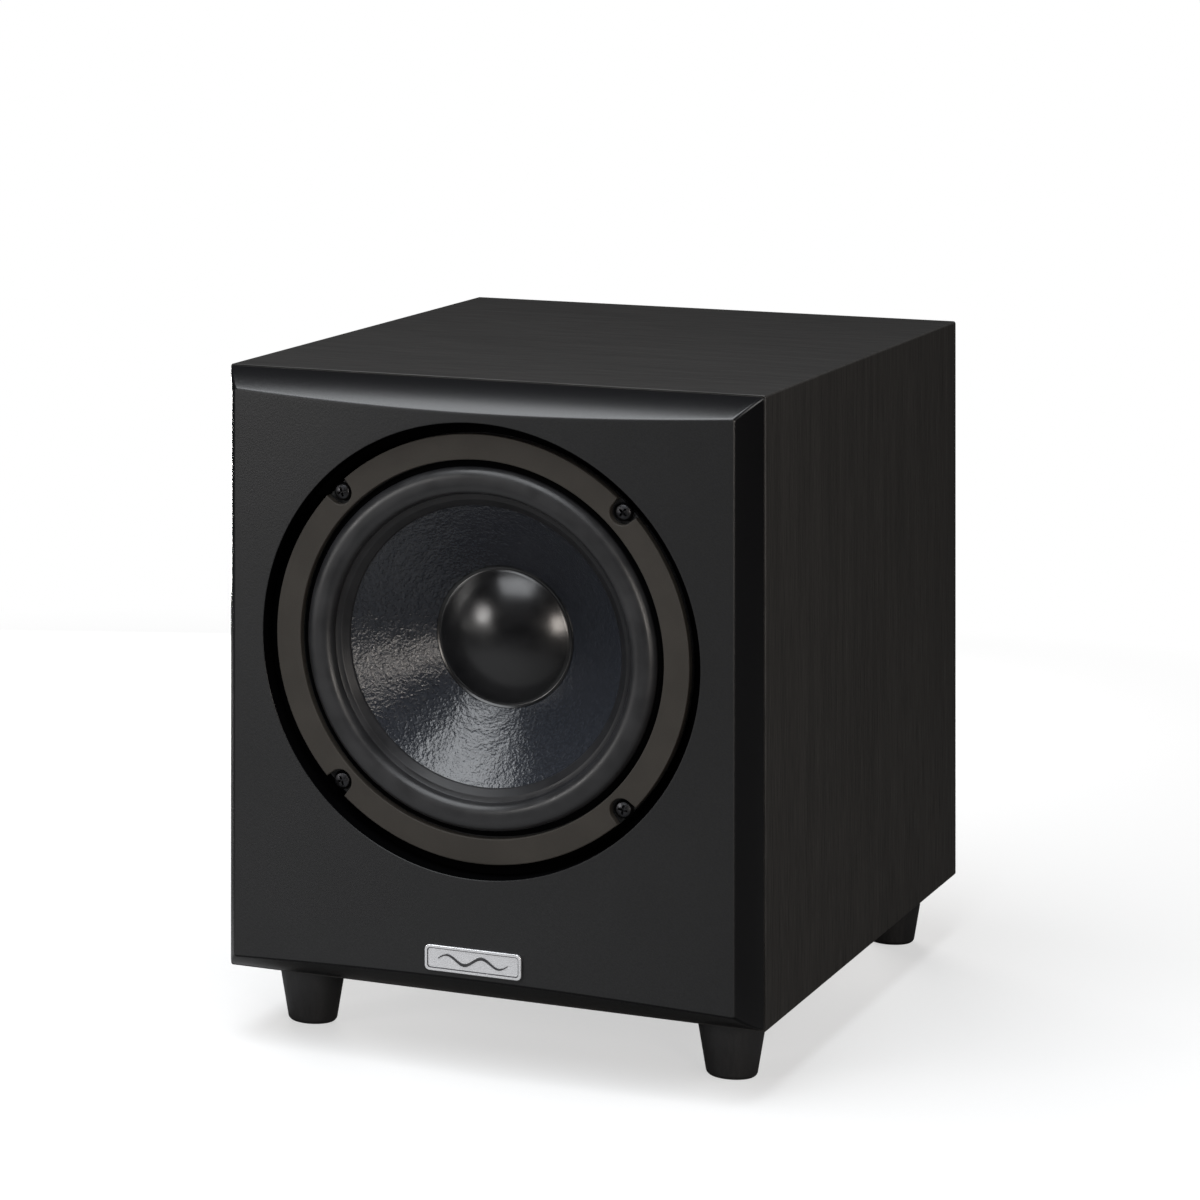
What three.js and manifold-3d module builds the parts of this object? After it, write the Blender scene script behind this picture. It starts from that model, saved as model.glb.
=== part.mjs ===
// Active subwoofer: a wrapped cabinet with a bowed front fascia, one 200 mm class
// driver, four tapered feet and a plate amplifier in the back.
//
// Everything is drawn in the cabinet's frame: X to the listener's right, Y towards
// the back with 0 where the fascia meets the carcass, Z up with 0 on the floor.
// The last lines move the group so that its origin is the bottom centre of its box.

import * as THREE from "three";
import { mergeVertices } from "three/addons/utils/BufferGeometryUtils.js";
import Module from "manifold-3d";

const wasm = await Module();
wasm.setup();

// ---- Driving dimensions, in millimetres ----

const CABINET = { width: 280, depth: 387, height: 311, board: 15 };
const FOOT = { height: 34, topRadius: 18, bottomRadius: 12.6, chamfer: 1.2 };
const FOOT_INSET = { side: 29, front: 42, rear: 30 };
const FASCIA = { edgeDepth: 20.2, centreDepth: 26.1, shadowGap: 0.6 };
const BEVEL = { slope: 0.261, curve: 0.0101 };
const DRIVER = { height: 178, recessRadius: 113.4, holeRadius: 96, seatDepth: 9.5 };
const RING = { outer: 107.3, inner: 94.4, frontDepth: 18.5 };
const SCREW_CIRCLE = 103.5;
const CONE = { edgeRadius: 74.2, slope: 0.9, wall: 1.35, neckRadius: 26.2 };
const CAP = { radius: 34.5, rimY: 23.2, rise: 10.5, wall: 0.8 };
const COIL = { formerInner: 24.8, formerOuter: 25.4, outer: 26.6 };
const BRACE = { front: 208, back: 220, windowWidth: 180, windowHeight: 200, corner: 25 };
const BADGE = { width: 50, height: 12.8, thickness: 1.5, corner: 2.4, centreHeight: 23.6 };
const AMP = { width: 200, height: 240, centreHeight: 156, plate: 3, gasket: 1.5 };
const AMP_BORDER = { side: 10, end: 14 };
const CONTROL_ROW = -14;
const MAINS_ROW = -84;
const HEAT_SINK = { width: 160, height: 92, base: 4, fins: 9, finHeight: 14, rise: 62 };
const TRANSFORMER = { x: -50, y: 290, hole: 12, radius: 43, height: 36, chamfer: 3 };
const WADDING = { thickness: 22, front: 232, back: 340, margin: 40 };
const SCREW_HOLE = { driver: 2.6, foot: 2.5, amp: 2.2, rearPanel: 2 };
const CLEAR = 0.3;

const BOTTOM = FOOT.height;
const TOP = BOTTOM + CABINET.height;
const HALF = CABINET.width / 2;
const INNER_HALF = HALF - CABINET.board;
const DRIVER_Z = BOTTOM + DRIVER.height;
const AMP_Z = BOTTOM + AMP.centreHeight;
const PLATE_FRONT = CABINET.depth + AMP.gasket;
const PLATE_BACK = PLATE_FRONT + AMP.plate;
const CONTROL_Z = AMP_Z + CONTROL_ROW;
const MAINS_Z = AMP_Z + MAINS_ROW;

// ---- Materials ----

const finish = (color, roughness, metalness = 0) =>
  new THREE.MeshStandardMaterial({ color, roughness, metalness });

const FINISH = {
  wrap: finish(0x2b2928, 0.6),
  paint: finish(0x34353a, 0.55),
  board: finish(0x8a6f52, 0.9),
  foam: finish(0x17171a, 0.95),
  castAlloy: finish(0x2a2b2d, 0.5, 0.6),
  ringPlastic: finish(0x3d3933, 0.6),
  rubber: finish(0x242426, 0.55),
  coneSheet: finish(0x26282c, 0.35),
  capGloss: finish(0x0c0c0e, 0.12),
  spiderCloth: finish(0xa8813c, 0.9),
  ferrite: finish(0x1d1d1f, 0.7),
  steel: finish(0xb8bcc0, 0.35, 1),
  blackSteel: finish(0x141416, 0.4, 0.8),
  copper: finish(0xb06a35, 0.35, 1),
  footPlastic: finish(0x1c1c1e, 0.5),
  badgeSilver: finish(0xd2d2d6, 0.3, 0.9),
  ampPlate: finish(0x1a1b1d, 0.5, 0.4),
  anodised: finish(0x1d1e21, 0.4, 0.7),
  circuit: finish(0x1f5a34, 0.6),
  blackPlastic: finish(0x151516, 0.45),
  capSleeve: finish(0x202a4a, 0.4),
  tape: finish(0xc9a23a, 0.5),
  redLens: finish(0xb01818, 0.2),
  cableSleeve: finish(0x1a1a1a, 0.6),
  wadding: finish(0xd8d5cc, 0.95),
};

// ---- Solid helpers ----

function toSolid(geometry) {
  const bare = geometry.clone();
  bare.deleteAttribute("normal");
  bare.deleteAttribute("uv");
  const merged = mergeVertices(bare, 1e-4);
  return new wasm.Manifold(
    new wasm.Mesh({
      numProp: 3,
      vertProperties: new Float32Array(merged.attributes.position.array),
      triVerts: new Uint32Array(merged.index.array),
    }),
  );
}

function toGeometry(solid) {
  const mesh = solid.getMesh();
  const geometry = new THREE.BufferGeometry();
  geometry.setAttribute("position", new THREE.BufferAttribute(mesh.vertProperties, 3));
  geometry.setIndex(new THREE.BufferAttribute(mesh.triVerts, 1));
  return geometry;
}

function cut(base, ...tools) {
  return toGeometry(tools.reduce((solid, tool) => solid.subtract(toSolid(tool)), toSolid(base)));
}

function join(base, ...parts) {
  return toGeometry(parts.reduce((solid, part) => solid.add(toSolid(part)), toSolid(base)));
}

// A block given by its low and high limits along each axis.
function block([x0, x1], [y0, y1], [z0, z1]) {
  const geometry = new THREE.BoxGeometry(x1 - x0, y1 - y0, z1 - z0);
  return geometry.translate((x0 + x1) / 2, (y0 + y1) / 2, (z0 + z1) / 2);
}

// An outline in X and Z, carried from y0 to y1.
function extrudeY(shape, y0, y1, curveSegments = 6) {
  const settings = { depth: y1 - y0, bevelEnabled: false, curveSegments };
  return new THREE.ExtrudeGeometry(shape, settings).rotateX(Math.PI / 2).translate(0, y1, 0);
}

function polygon(points) {
  return new THREE.Shape(points.map(([x, y]) => new THREE.Vector2(x, y)));
}

function roundedRectangle(width, height, radius) {
  const x = width / 2 - radius;
  const y = height / 2 - radius;
  const shape = new THREE.Shape();
  shape.absarc(x, y, radius, 0, Math.PI / 2);
  shape.absarc(-x, y, radius, Math.PI / 2, Math.PI);
  shape.absarc(-x, -y, radius, Math.PI, 1.5 * Math.PI);
  shape.absarc(x, -y, radius, 1.5 * Math.PI, 2 * Math.PI);
  return shape;
}

// A turned piece about the Y axis. The profile lists [radius, y]; when it doesn't
// start and end on the axis it closes on itself.
function turned(profile, segments) {
  const points = profile.map(([radius, y]) => new THREE.Vector2(radius, y));
  if (THREE.ShapeUtils.area(points) < 0) points.reverse();
  const onAxis = points.findIndex((p, i) => p.x === 0 && points.at(i - 1).x === 0);
  if (onAxis >= 0) points.push(...points.splice(0, onAxis));
  else points.push(points[0].clone());
  return new THREE.LatheGeometry(points, segments);
}

const turnedUpright = (profile, segments) => turned(profile, segments).rotateX(Math.PI / 2);

function rodY(radius, y0, y1, segments = 12) {
  return turned([[0, y0], [radius, y0], [radius, y1], [0, y1]], segments);
}

const subwoofer = new THREE.Group();

function add(name, geometry, material) {
  const mesh = new THREE.Mesh(geometry, material);
  mesh.name = name;
  subwoofer.add(mesh);
}

// ---- Where the fasteners go ----

const cornerSigns = [[-1, 1], [1, 1], [1, -1], [-1, -1]];
const diagonal = SCREW_CIRCLE * Math.SQRT1_2;
const driverScrewPlaces = cornerSigns.map(([sx, sz]) => [sx * diagonal, DRIVER_Z + sz * diagonal]);

const footPlaces = cornerSigns.map(([sx, sy]) => [
  sx * (HALF - FOOT_INSET.side),
  sy > 0 ? CABINET.depth - FOOT_INSET.rear : FOOT_INSET.front,
]);

const ampScrewX = AMP.width / 2 - 5;
const ampScrewRise = AMP.height / 2 - 8;
const ampScrewPlaces = [-1, 1].flatMap((sx) =>
  [-1, 0, 1].map((sz) => [sx * ampScrewX, AMP_Z + sz * ampScrewRise]),
);

function holesY(places, radius, y0, y1) {
  return places.map(([x, z]) => rodY(radius, y0, y1, 8).translate(x, 0, z));
}

// ---- Cabinet ----

// How far the fascia's sides have drawn in at a given distance in front of the carcass.
function fasciaInset(distance) {
  return FASCIA.shadowGap + BEVEL.slope * distance + BEVEL.curve * distance ** 2;
}

// The fascia before its face is cut: a rectangle that draws in along a curve.
function drawnInBlock() {
  const steps = 5;
  const positions = [];
  for (let i = 0; i <= steps; i++) {
    const distance = (FASCIA.centreDepth * i) / steps;
    const x = HALF - fasciaInset(distance);
    const low = BOTTOM + fasciaInset(distance);
    const high = TOP - fasciaInset(distance);
    positions.push(-x, -distance, low, x, -distance, low, x, -distance, high, -x, -distance, high);
  }
  const faces = [0, 2, 1, 0, 3, 2];
  for (let i = 0; i < steps; i++) {
    for (let k = 0; k < 4; k++) {
      const a = 4 * i + k;
      const b = 4 * i + ((k + 1) % 4);
      faces.push(a, b, b + 4, a, b + 4, a + 4);
    }
  }
  const last = 4 * steps;
  faces.push(last, last + 1, last + 2, last, last + 2, last + 3);
  const geometry = new THREE.BufferGeometry();
  geometry.setAttribute("position", new THREE.Float32BufferAttribute(positions, 3));
  geometry.setIndex(faces);
  return geometry;
}

// Space behind the bowed face: an arc across the front, carried from bottom to top.
function bowedBlock() {
  const halfChord = HALF - fasciaInset(FASCIA.edgeDepth);
  const bow = FASCIA.centreDepth - FASCIA.edgeDepth;
  const radius = (halfChord ** 2 + bow ** 2) / (2 * bow);
  const reach = Math.asin((HALF + 1) / radius);
  const shape = new THREE.Shape();
  shape.moveTo(HALF + 1, 1);
  shape.lineTo(-HALF - 1, 1);
  shape.absarc(0, radius - FASCIA.centreDepth, radius, -Math.PI / 2 - reach, reach - Math.PI / 2);
  const settings = { depth: CABINET.height, bevelEnabled: false, curveSegments: 10 };
  return new THREE.ExtrudeGeometry(shape, settings).translate(0, 0, BOTTOM);
}

function makeFascia() {
  const bowed = toGeometry(toSolid(drawnInBlock()).intersect(toSolid(bowedBlock())));
  const recess = rodY(DRIVER.recessRadius, -40, -DRIVER.seatDepth, 44).translate(0, 0, DRIVER_Z);
  const hole = rodY(DRIVER.holeRadius, -40, 1, 40).translate(0, 0, DRIVER_Z);
  return cut(bowed, recess, hole, ...holesY(driverScrewPlaces, SCREW_HOLE.driver, -40, 1));
}

// The space the amplifier needs between two depths, inside the border of its plate.
function ampOpening(y0, y1) {
  const halfWidth = AMP.width / 2 - AMP_BORDER.side;
  const halfHeight = AMP.height / 2 - AMP_BORDER.end;
  const heights = [AMP_Z - halfHeight, AMP_Z + halfHeight];
  return block([-halfWidth, halfWidth], [y0 - 1, y1 + 1], heights);
}

function makeCabinet() {
  const { board, depth } = CABINET;
  const inner = INNER_HALF;
  const low = BOTTOM + board;
  const high = TOP - board;
  const panel = (points) => extrudeY(polygon(points), 0, depth);

  add("front_fascia", makeFascia(), FINISH.paint);
  add("top_panel", panel([[-HALF, TOP], [-inner, high], [inner, high], [HALF, TOP]]), FINISH.wrap);
  add("left_panel", panel([[-HALF, BOTTOM], [-inner, low], [-inner, high], [-HALF, TOP]]), FINISH.wrap);
  add("right_panel", panel([[HALF, BOTTOM], [HALF, TOP], [inner, high], [inner, low]]), FINISH.wrap);

  const holeProfile = [
    [0, BOTTOM - 1],
    [SCREW_HOLE.foot, BOTTOM - 1],
    [SCREW_HOLE.foot, BOTTOM + 13],
    [0, BOTTOM + 13],
  ];
  const footHoles = footPlaces.map(([x, y]) => turnedUpright(holeProfile, 12).translate(x, y, 0));
  const bottom = panel([[-HALF, BOTTOM], [HALF, BOTTOM], [inner, low], [-inner, low]]);
  add("bottom_panel", cut(bottom, ...footHoles), FINISH.wrap);

  const driverHole = rodY(DRIVER.holeRadius, -1, board + 1, 40).translate(0, 0, DRIVER_Z);
  const baffle = block([-inner, inner], [0, board], [low, high]);
  const baffleHoles = holesY(driverScrewPlaces, SCREW_HOLE.driver, -1, board + 1);
  add("front_baffle", cut(baffle, driverHole, ...baffleHoles), FINISH.board);

  const rear = block([-inner, inner], [depth - board, depth], [low, high]);
  const rearHoles = holesY(ampScrewPlaces, SCREW_HOLE.rearPanel, depth - 13, depth + 1);
  add("rear_panel", cut(rear, ampOpening(depth - board, depth), ...rearHoles), FINISH.wrap);

  const brace = block([-inner, inner], [BRACE.front, BRACE.back], [low, high]);
  const windowShape = roundedRectangle(BRACE.windowWidth, BRACE.windowHeight, BRACE.corner);
  const window = extrudeY(windowShape, BRACE.front - 1, BRACE.back + 1);
  add("inner_brace", cut(brace, window.translate(0, 0, (low + high) / 2)), FINISH.board);
}

function makeBadge() {
  const front = -FASCIA.centreDepth - BADGE.thickness;
  const plate = roundedRectangle(BADGE.width, BADGE.height, BADGE.corner);
  const field = roundedRectangle(BADGE.width - 2.4, BADGE.height - 2.4, BADGE.corner - 0.8);
  const body = extrudeY(plate, front, -FASCIA.centreDepth - 0.02, 4);
  const pocket = extrudeY(field, front - 1, front + 0.5, 4);
  const z = BOTTOM + BADGE.centreHeight;
  add("badge", cut(body, pocket).translate(0, 0, z), FINISH.badgeSilver);
}

// ---- Feet ----

function makeFeet() {
  const headSeat = 20;
  const footProfile = [
    [5.4, 0],
    [FOOT.bottomRadius - FOOT.chamfer, 0],
    [FOOT.bottomRadius, FOOT.chamfer],
    [FOOT.topRadius, FOOT.height],
    [2.8, FOOT.height],
    [2.8, headSeat],
    [5.4, headSeat],
  ];
  const screwProfile = [
    [0, headSeat - 3],
    [4, headSeat - 3],
    [4.6, headSeat - 1.6],
    [4.6, headSeat],
    [2.2, headSeat],
    [2.2, FOOT.height + 11],
    [0, FOOT.height + 12.5],
  ];
  const corners = ["rear_left", "rear_right", "front_right", "front_left"];
  footPlaces.forEach(([x, y], i) => {
    add(`foot_${corners[i]}`, turnedUpright(footProfile, 20).translate(x, y, 0), FINISH.footPlastic);
    add(`foot_screw_${corners[i]}`, turnedUpright(screwProfile, 8).translate(x, y, 0), FINISH.steel);
  });
}

// ---- Driver: frame and motor ----

const FLANGE_FRONT = -13;
const FLANGE_BACK = -11;

function makeBasket() {
  const profile = [
    [30, 60],
    [52, 60],
    [64, 44],
    [72, 44],
    [72, 36],
    [88, 3],
    [88, FLANGE_FRONT],
    [RING.outer, FLANGE_FRONT],
    [RING.outer, FLANGE_BACK],
    [91, FLANGE_BACK],
    [91, 4],
    [75, 37],
    [75, 47],
    [66, 47],
    [55, 63],
    [30, 63],
  ];
  const windows = [];
  const count = 6;
  for (let i = 0; i < count; i++) {
    const middle = ((i + 0.5) * 2 * Math.PI) / count;
    const reach = 0.36;
    const sector = new THREE.Shape();
    sector.moveTo(60 * Math.cos(middle - reach), 60 * Math.sin(middle - reach));
    sector.absarc(0, 0, 100, middle - reach, middle + reach);
    sector.lineTo(60 * Math.cos(middle + reach), 60 * Math.sin(middle + reach));
    windows.push(extrudeY(sector, 8, 33, 2));
  }
  const shell = cut(turned(profile, 30), ...windows).translate(0, 0, DRIVER_Z);
  const holes = holesY(driverScrewPlaces, SCREW_HOLE.driver, FLANGE_FRONT - 1, FLANGE_BACK + 1);
  return cut(shell, ...holes);
}

function makeTrimRing() {
  const front = -RING.frontDepth;
  const profile = [
    [RING.inner, FLANGE_FRONT],
    [RING.outer, FLANGE_FRONT],
    [RING.outer, front + 0.6],
    [RING.outer - 0.6, front],
    [RING.inner + 0.9, front],
    [RING.inner, front + 0.9],
  ];
  const notches = cornerSigns.map(([sx, sz]) => {
    const halfWidth = 6;
    const u = new THREE.Shape();
    u.absarc(0, 0, halfWidth, Math.PI, 2 * Math.PI);
    u.lineTo(halfWidth + 2, 12);
    u.lineTo(-halfWidth - 2, 12);
    return extrudeY(u, front - 1, FLANGE_FRONT + 1, 6)
      .rotateY(Math.atan2(sx, sz))
      .translate(sx * diagonal, 0, sz * diagonal);
  });
  return cut(turned(profile, 40), ...notches).translate(0, 0, DRIVER_Z);
}

function makeGasket() {
  const profile = [
    [97, FLANGE_BACK],
    [RING.outer, FLANGE_BACK],
    [RING.outer, -DRIVER.seatDepth],
    [97, -DRIVER.seatDepth],
  ];
  const ring = turned(profile, 30).translate(0, 0, DRIVER_Z);
  const back = 1 - DRIVER.seatDepth;
  return cut(ring, ...holesY(driverScrewPlaces, SCREW_HOLE.driver, FLANGE_BACK - 1, back));
}

function makeMotor() {
  const atDriver = (geometry) => geometry.translate(0, 0, DRIVER_Z);
  const topPlate = [[27.4, 63], [55, 63], [55, 71], [27.4, 71]];
  const magnet = [[33, 71], [61, 71], [61, 89], [33, 89]];
  const yoke = [[0, 63], [22, 63], [24.2, 65], [24.2, 89], [55, 89], [58, 91], [58, 96], [0, 96]];
  add("motor_top_plate", atDriver(turned(topPlate, 24)), FINISH.blackSteel);
  add("magnet", atDriver(turned(magnet, 24)), FINISH.ferrite);
  add("motor_yoke", atDriver(turned(yoke, 24)), FINISH.blackSteel);
  const strip = join(
    block([75.4, 79.4], [38, 46], [-14, 14]),
    block([79, 84], [41.6, 42.4], [5, 10]),
    block([79, 84], [41.6, 42.4], [-10, -5]),
  );
  add("driver_terminals", atDriver(strip), FINISH.blackPlastic);
}

function makeDriverScrews() {
  const profile = [
    [0, FLANGE_FRONT - 3.2],
    [3, FLANGE_FRONT - 3],
    [4.7, FLANGE_FRONT - 1.6],
    [4.7, FLANGE_FRONT],
    [2.2, FLANGE_FRONT],
    [2.2, 11],
    [0, 13],
  ];
  const names = ["upper_left", "upper_right", "lower_right", "lower_left"];
  driverScrewPlaces.forEach(([x, z], i) => {
    add(`driver_screw_${names[i]}`, turned(profile, 8).translate(x, 0, z), FINISH.blackSteel);
  });
}

// ---- Driver: the parts that move or flex ----

// The cone's front surface, as the depth at a radius.
const coneY = (radius) => CAP.rimY + (CAP.radius - radius) * CONE.slope;

function makeCone() {
  const { edgeRadius, neckRadius, wall } = CONE;
  const profile = [
    [neckRadius, coneY(neckRadius)],
    [edgeRadius, coneY(edgeRadius)],
    [edgeRadius, coneY(edgeRadius) + wall],
    [neckRadius, coneY(neckRadius) + wall],
  ];
  return turned(profile, 40);
}

// A dome whose rim rests on the cone, drawn as an arc of a circle.
function makeDustCap() {
  const { radius, rimY, rise, wall } = CAP;
  const sphere = (radius ** 2 + rise ** 2) / (2 * rise);
  const centreY = rimY - rise + sphere;
  const reach = Math.asin(radius / sphere);
  const steps = 4;
  const arc = (size) =>
    Array.from({ length: steps + 1 }, (_, i) => {
      const angle = (reach * i) / steps;
      return [size * Math.sin(angle), centreY - size * Math.cos(angle) - 2 * CLEAR];
    });
  return turned([...arc(sphere), ...arc(sphere - wall).reverse()], 24);
}

// Half roll between a flat inner foot and a flat outer foot.
function makeSurround() {
  const rollRadius = 7;
  const rollCentre = 84;
  const thickness = 1;
  const footY = FLANGE_FRONT - 0.1;
  const steps = 4;
  const arc = (size, y) =>
    Array.from({ length: steps + 1 }, (_, i) => {
      const angle = (Math.PI * i) / steps;
      return [rollCentre - size * Math.cos(angle), y - size * 0.95 * Math.sin(angle)];
    });
  const inside = arc(rollRadius - thickness, footY);
  const outside = arc(rollRadius, footY - thickness).reverse();
  const profile = [
    [CONE.edgeRadius + CLEAR, footY],
    ...inside,
    [93.8, footY],
    [93.8, footY - thickness],
    ...outside,
    [CONE.edgeRadius + CLEAR, footY - thickness],
  ];
  return turned(profile, 32);
}

// Corrugated cloth disc between the coil former and the frame's rear shelf.
function makeSpider() {
  const waves = 3;
  const innerRadius = COIL.formerOuter + CLEAR;
  const outerRadius = 71.4;
  const middleY = 42;
  const half = 0.4;
  const steps = waves * 2;
  const edge = (offset) =>
    Array.from({ length: steps + 1 }, (_, i) => {
      const radius = innerRadius + ((outerRadius - innerRadius) * i) / steps;
      return [radius, middleY + offset + 1.2 * (i % 2 ? -1 : 1)];
    });
  return turned([...edge(-half), ...edge(half).reverse()], 24);
}

function makeMovingParts() {
  const atDriver = (geometry) => geometry.translate(0, 0, DRIVER_Z);
  const { formerInner, formerOuter, outer } = COIL;
  const former = [[formerInner, 30], [formerOuter, 30], [formerOuter, 80], [formerInner, 80]];
  const coil = [[formerOuter + 0.05, 57], [outer, 57], [outer, 77], [formerOuter + 0.05, 77]];
  add("cone", atDriver(makeCone()), FINISH.coneSheet);
  add("dust_cap", atDriver(makeDustCap()), FINISH.capGloss);
  add("coil_former", atDriver(turned(former, 24)), FINISH.tape);
  add("voice_coil", atDriver(turned(coil, 24)), FINISH.copper);
  add("surround", atDriver(makeSurround()), FINISH.rubber);
  add("spider", atDriver(makeSpider()), FINISH.spiderCloth);
}

// ---- Plate amplifier ----

const KNOB_X = { volume: 34, crossover: -14 };
const PHASE_X = -62;
const SOCKET_X = 76;
const LED_X = 0;
const SWITCH_X = 48;
const INLET_X = -46;
const BOARD_Y = 350;
const postPlaces = [[-78, 90], [78, 90], [78, -44], [-78, -44]];

function makeAmpPlate() {
  const plate = block(
    [-AMP.width / 2, AMP.width / 2],
    [PLATE_FRONT, PLATE_BACK],
    [AMP_Z - AMP.height / 2, AMP_Z + AMP.height / 2],
  );
  const posts = postPlaces.map(([x, rise]) =>
    rodY(4, BOARD_Y + 1.6, PLATE_FRONT + 1, 10).translate(x, 0, AMP_Z + rise),
  );
  const through = [PLATE_FRONT - 1, PLATE_BACK + 1];
  const openings = [
    ...holesY([[KNOB_X.volume, CONTROL_Z], [KNOB_X.crossover, CONTROL_Z]], 4.8, ...through),
    ...holesY([[LED_X, MAINS_Z]], 2.9, ...through),
    ...holesY([[SOCKET_X, CONTROL_Z + 11], [SOCKET_X, CONTROL_Z - 11]], 4.6, ...through),
    block([PHASE_X - 6.5, PHASE_X + 6.5], through, [CONTROL_Z - 4, CONTROL_Z + 4]),
    block([SWITCH_X - 10.5, SWITCH_X + 10.5], through, [MAINS_Z - 14.5, MAINS_Z + 14.5]),
    block([INLET_X - 14.5, INLET_X + 14.5], through, [MAINS_Z - 11, MAINS_Z + 11]),
    ...holesY(ampScrewPlaces, SCREW_HOLE.amp, ...through),
  ];
  return cut(join(plate, ...posts), ...openings);
}

function makeAmpGasket() {
  const height = AMP.height / 2;
  const width = AMP.width / 2;
  const front = CABINET.depth;
  const frame = block([-width, width], [front, PLATE_FRONT], [AMP_Z - height, AMP_Z + height]);
  const holes = holesY(ampScrewPlaces, SCREW_HOLE.amp, front - 1, PLATE_FRONT + 1);
  return cut(frame, ampOpening(front, PLATE_FRONT), ...holes);
}

// Drops a point that repeats the one before it.
function dedupe(points) {
  return points.filter(([x, y], i) => {
    const [px, py] = points.at(i - 1);
    return Math.hypot(x - px, y - py) > 0.01;
  });
}

// A comb of upright fins.
function makeHeatSink() {
  const { width, height, base, fins, finHeight, rise } = HEAT_SINK;
  const y0 = PLATE_BACK;
  const pitch = (width - 3) / (fins - 1);
  const points = [[-width / 2, y0], [width / 2, y0]];
  for (let i = fins - 1; i >= 0; i--) {
    const x = -width / 2 + 1.5 + i * pitch;
    points.push([x + 1.5, y0 + base]);
    points.push([x + 1, y0 + base + finHeight]);
    points.push([x - 1, y0 + base + finHeight]);
    points.push([x - 1.5, y0 + base]);
  }
  const settings = { depth: height, bevelEnabled: false };
  const comb = new THREE.ExtrudeGeometry(polygon(dedupe(points)), settings);
  return comb.translate(0, 0, AMP_Z + rise - height / 2);
}

// A turned knob on its shaft, with a raised pointer that shows which way it is set.
function makeKnob(x) {
  const profile = [
    [0, PLATE_FRONT - 12],
    [2.9, PLATE_FRONT - 12],
    [2.9, PLATE_BACK + 0.8],
    [9.5, PLATE_BACK + 0.8],
    [9.5, PLATE_BACK + 3.5],
    [7.6, PLATE_BACK + 5],
    [7.1, PLATE_BACK + 16],
    [6.3, PLATE_BACK + 17],
    [0, PLATE_BACK + 17],
  ];
  const pointer = block([-0.7, 0.7], [PLATE_BACK + 4, PLATE_BACK + 17.4], [1, 8]);
  return join(turned(profile, 18), pointer).translate(x, 0, CONTROL_Z);
}

// The control behind a knob: a round can with a threaded bush through the plate.
function makePot(x) {
  const profile = [
    [3.1, PLATE_BACK + 0.4],
    [4.1, PLATE_BACK + 0.4],
    [4.1, PLATE_FRONT - CLEAR],
    [8.5, PLATE_FRONT - CLEAR],
    [8.5, PLATE_FRONT - 11],
    [3.1, PLATE_FRONT - 11],
  ];
  return turned(profile, 14).translate(x, 0, CONTROL_Z);
}

function makeControls() {
  for (const [name, x] of Object.entries(KNOB_X)) {
    add(`${name}_knob`, makeKnob(x), FINISH.blackPlastic);
    add(`${name}_pot`, makePot(x), FINISH.steel);
  }

  // Slide switch: the slot is longer than the slider by its travel.
  const sliderWidth = 4;
  const travel = 4;
  const slotHalf = (sliderWidth + travel) / 2 + CLEAR;
  const bezel = block([-8, 8], [PLATE_BACK, PLATE_BACK + 1], [-5.5, 5.5]);
  const can = block([-6, 6], [PLATE_FRONT - 7, PLATE_BACK + 0.5], [-3.6, 3.6]);
  const slot = block([-slotHalf, slotHalf], [PLATE_FRONT - 5, PLATE_BACK + 2], [-2.2, 2.2]);
  const place = (geometry) => geometry.translate(PHASE_X, 0, CONTROL_Z);
  add("phase_switch_body", place(cut(join(bezel, can), slot)), FINISH.blackPlastic);
  const sliderX = [-travel / 2 - sliderWidth / 2, -travel / 2 + sliderWidth / 2];
  const slider = block(sliderX, [PLATE_FRONT - 4.6, PLATE_BACK + 3.2], [-1.9, 1.9]);
  add("phase_slider", place(slider), FINISH.blackPlastic);
}

// Mains rocker: an open housing, and a wedge that tips about a line across it.
const ROCKER = { tilt: 9, pivotY: PLATE_BACK - 1.5, halfLength: 11, halfWidth: 7 };

function makePowerSwitch() {
  const { halfLength, halfWidth, pivotY, tilt } = ROCKER;
  const place = (geometry) => geometry.translate(SWITCH_X, 0, MAINS_Z);
  const flange = block([-12, 12], [PLATE_BACK, PLATE_BACK + 1.5], [-16.5, 16.5]);
  const can = block([-10, 10], [PLATE_FRONT - 14, PLATE_BACK + 1], [-14, 14]);
  const wellX = [-halfWidth - CLEAR, halfWidth + CLEAR];
  const well = block(wellX, [PLATE_FRONT - 10, PLATE_BACK + 2], [-12.6, 12.6]);
  add("power_switch_body", place(cut(join(flange, can), well)), FINISH.blackPlastic);

  const lift = halfLength * Math.tan(THREE.MathUtils.degToRad(tilt));
  const side = polygon([
    [-2.5, halfLength],
    [-2.5 - 2, 0],
    [-2.5, -halfLength],
    [3.4 + lift / 2, -halfLength],
    [3.4 - lift / 2, 0],
    [3.4 + lift / 2, halfLength],
  ]);
  const settings = { depth: 2 * halfWidth, bevelEnabled: false };
  const rocker = new THREE.ExtrudeGeometry(side, settings)
    .rotateX(Math.PI / 2)
    .rotateZ(Math.PI / 2);
  rocker.computeBoundingBox();
  rocker.translate(-(rocker.boundingBox.min.x + rocker.boundingBox.max.x) / 2, 0, 0);
  rocker.rotateX(THREE.MathUtils.degToRad(tilt));
  add("power_rocker", rocker.translate(SWITCH_X, pivotY, MAINS_Z), FINISH.blackPlastic);
}

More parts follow.
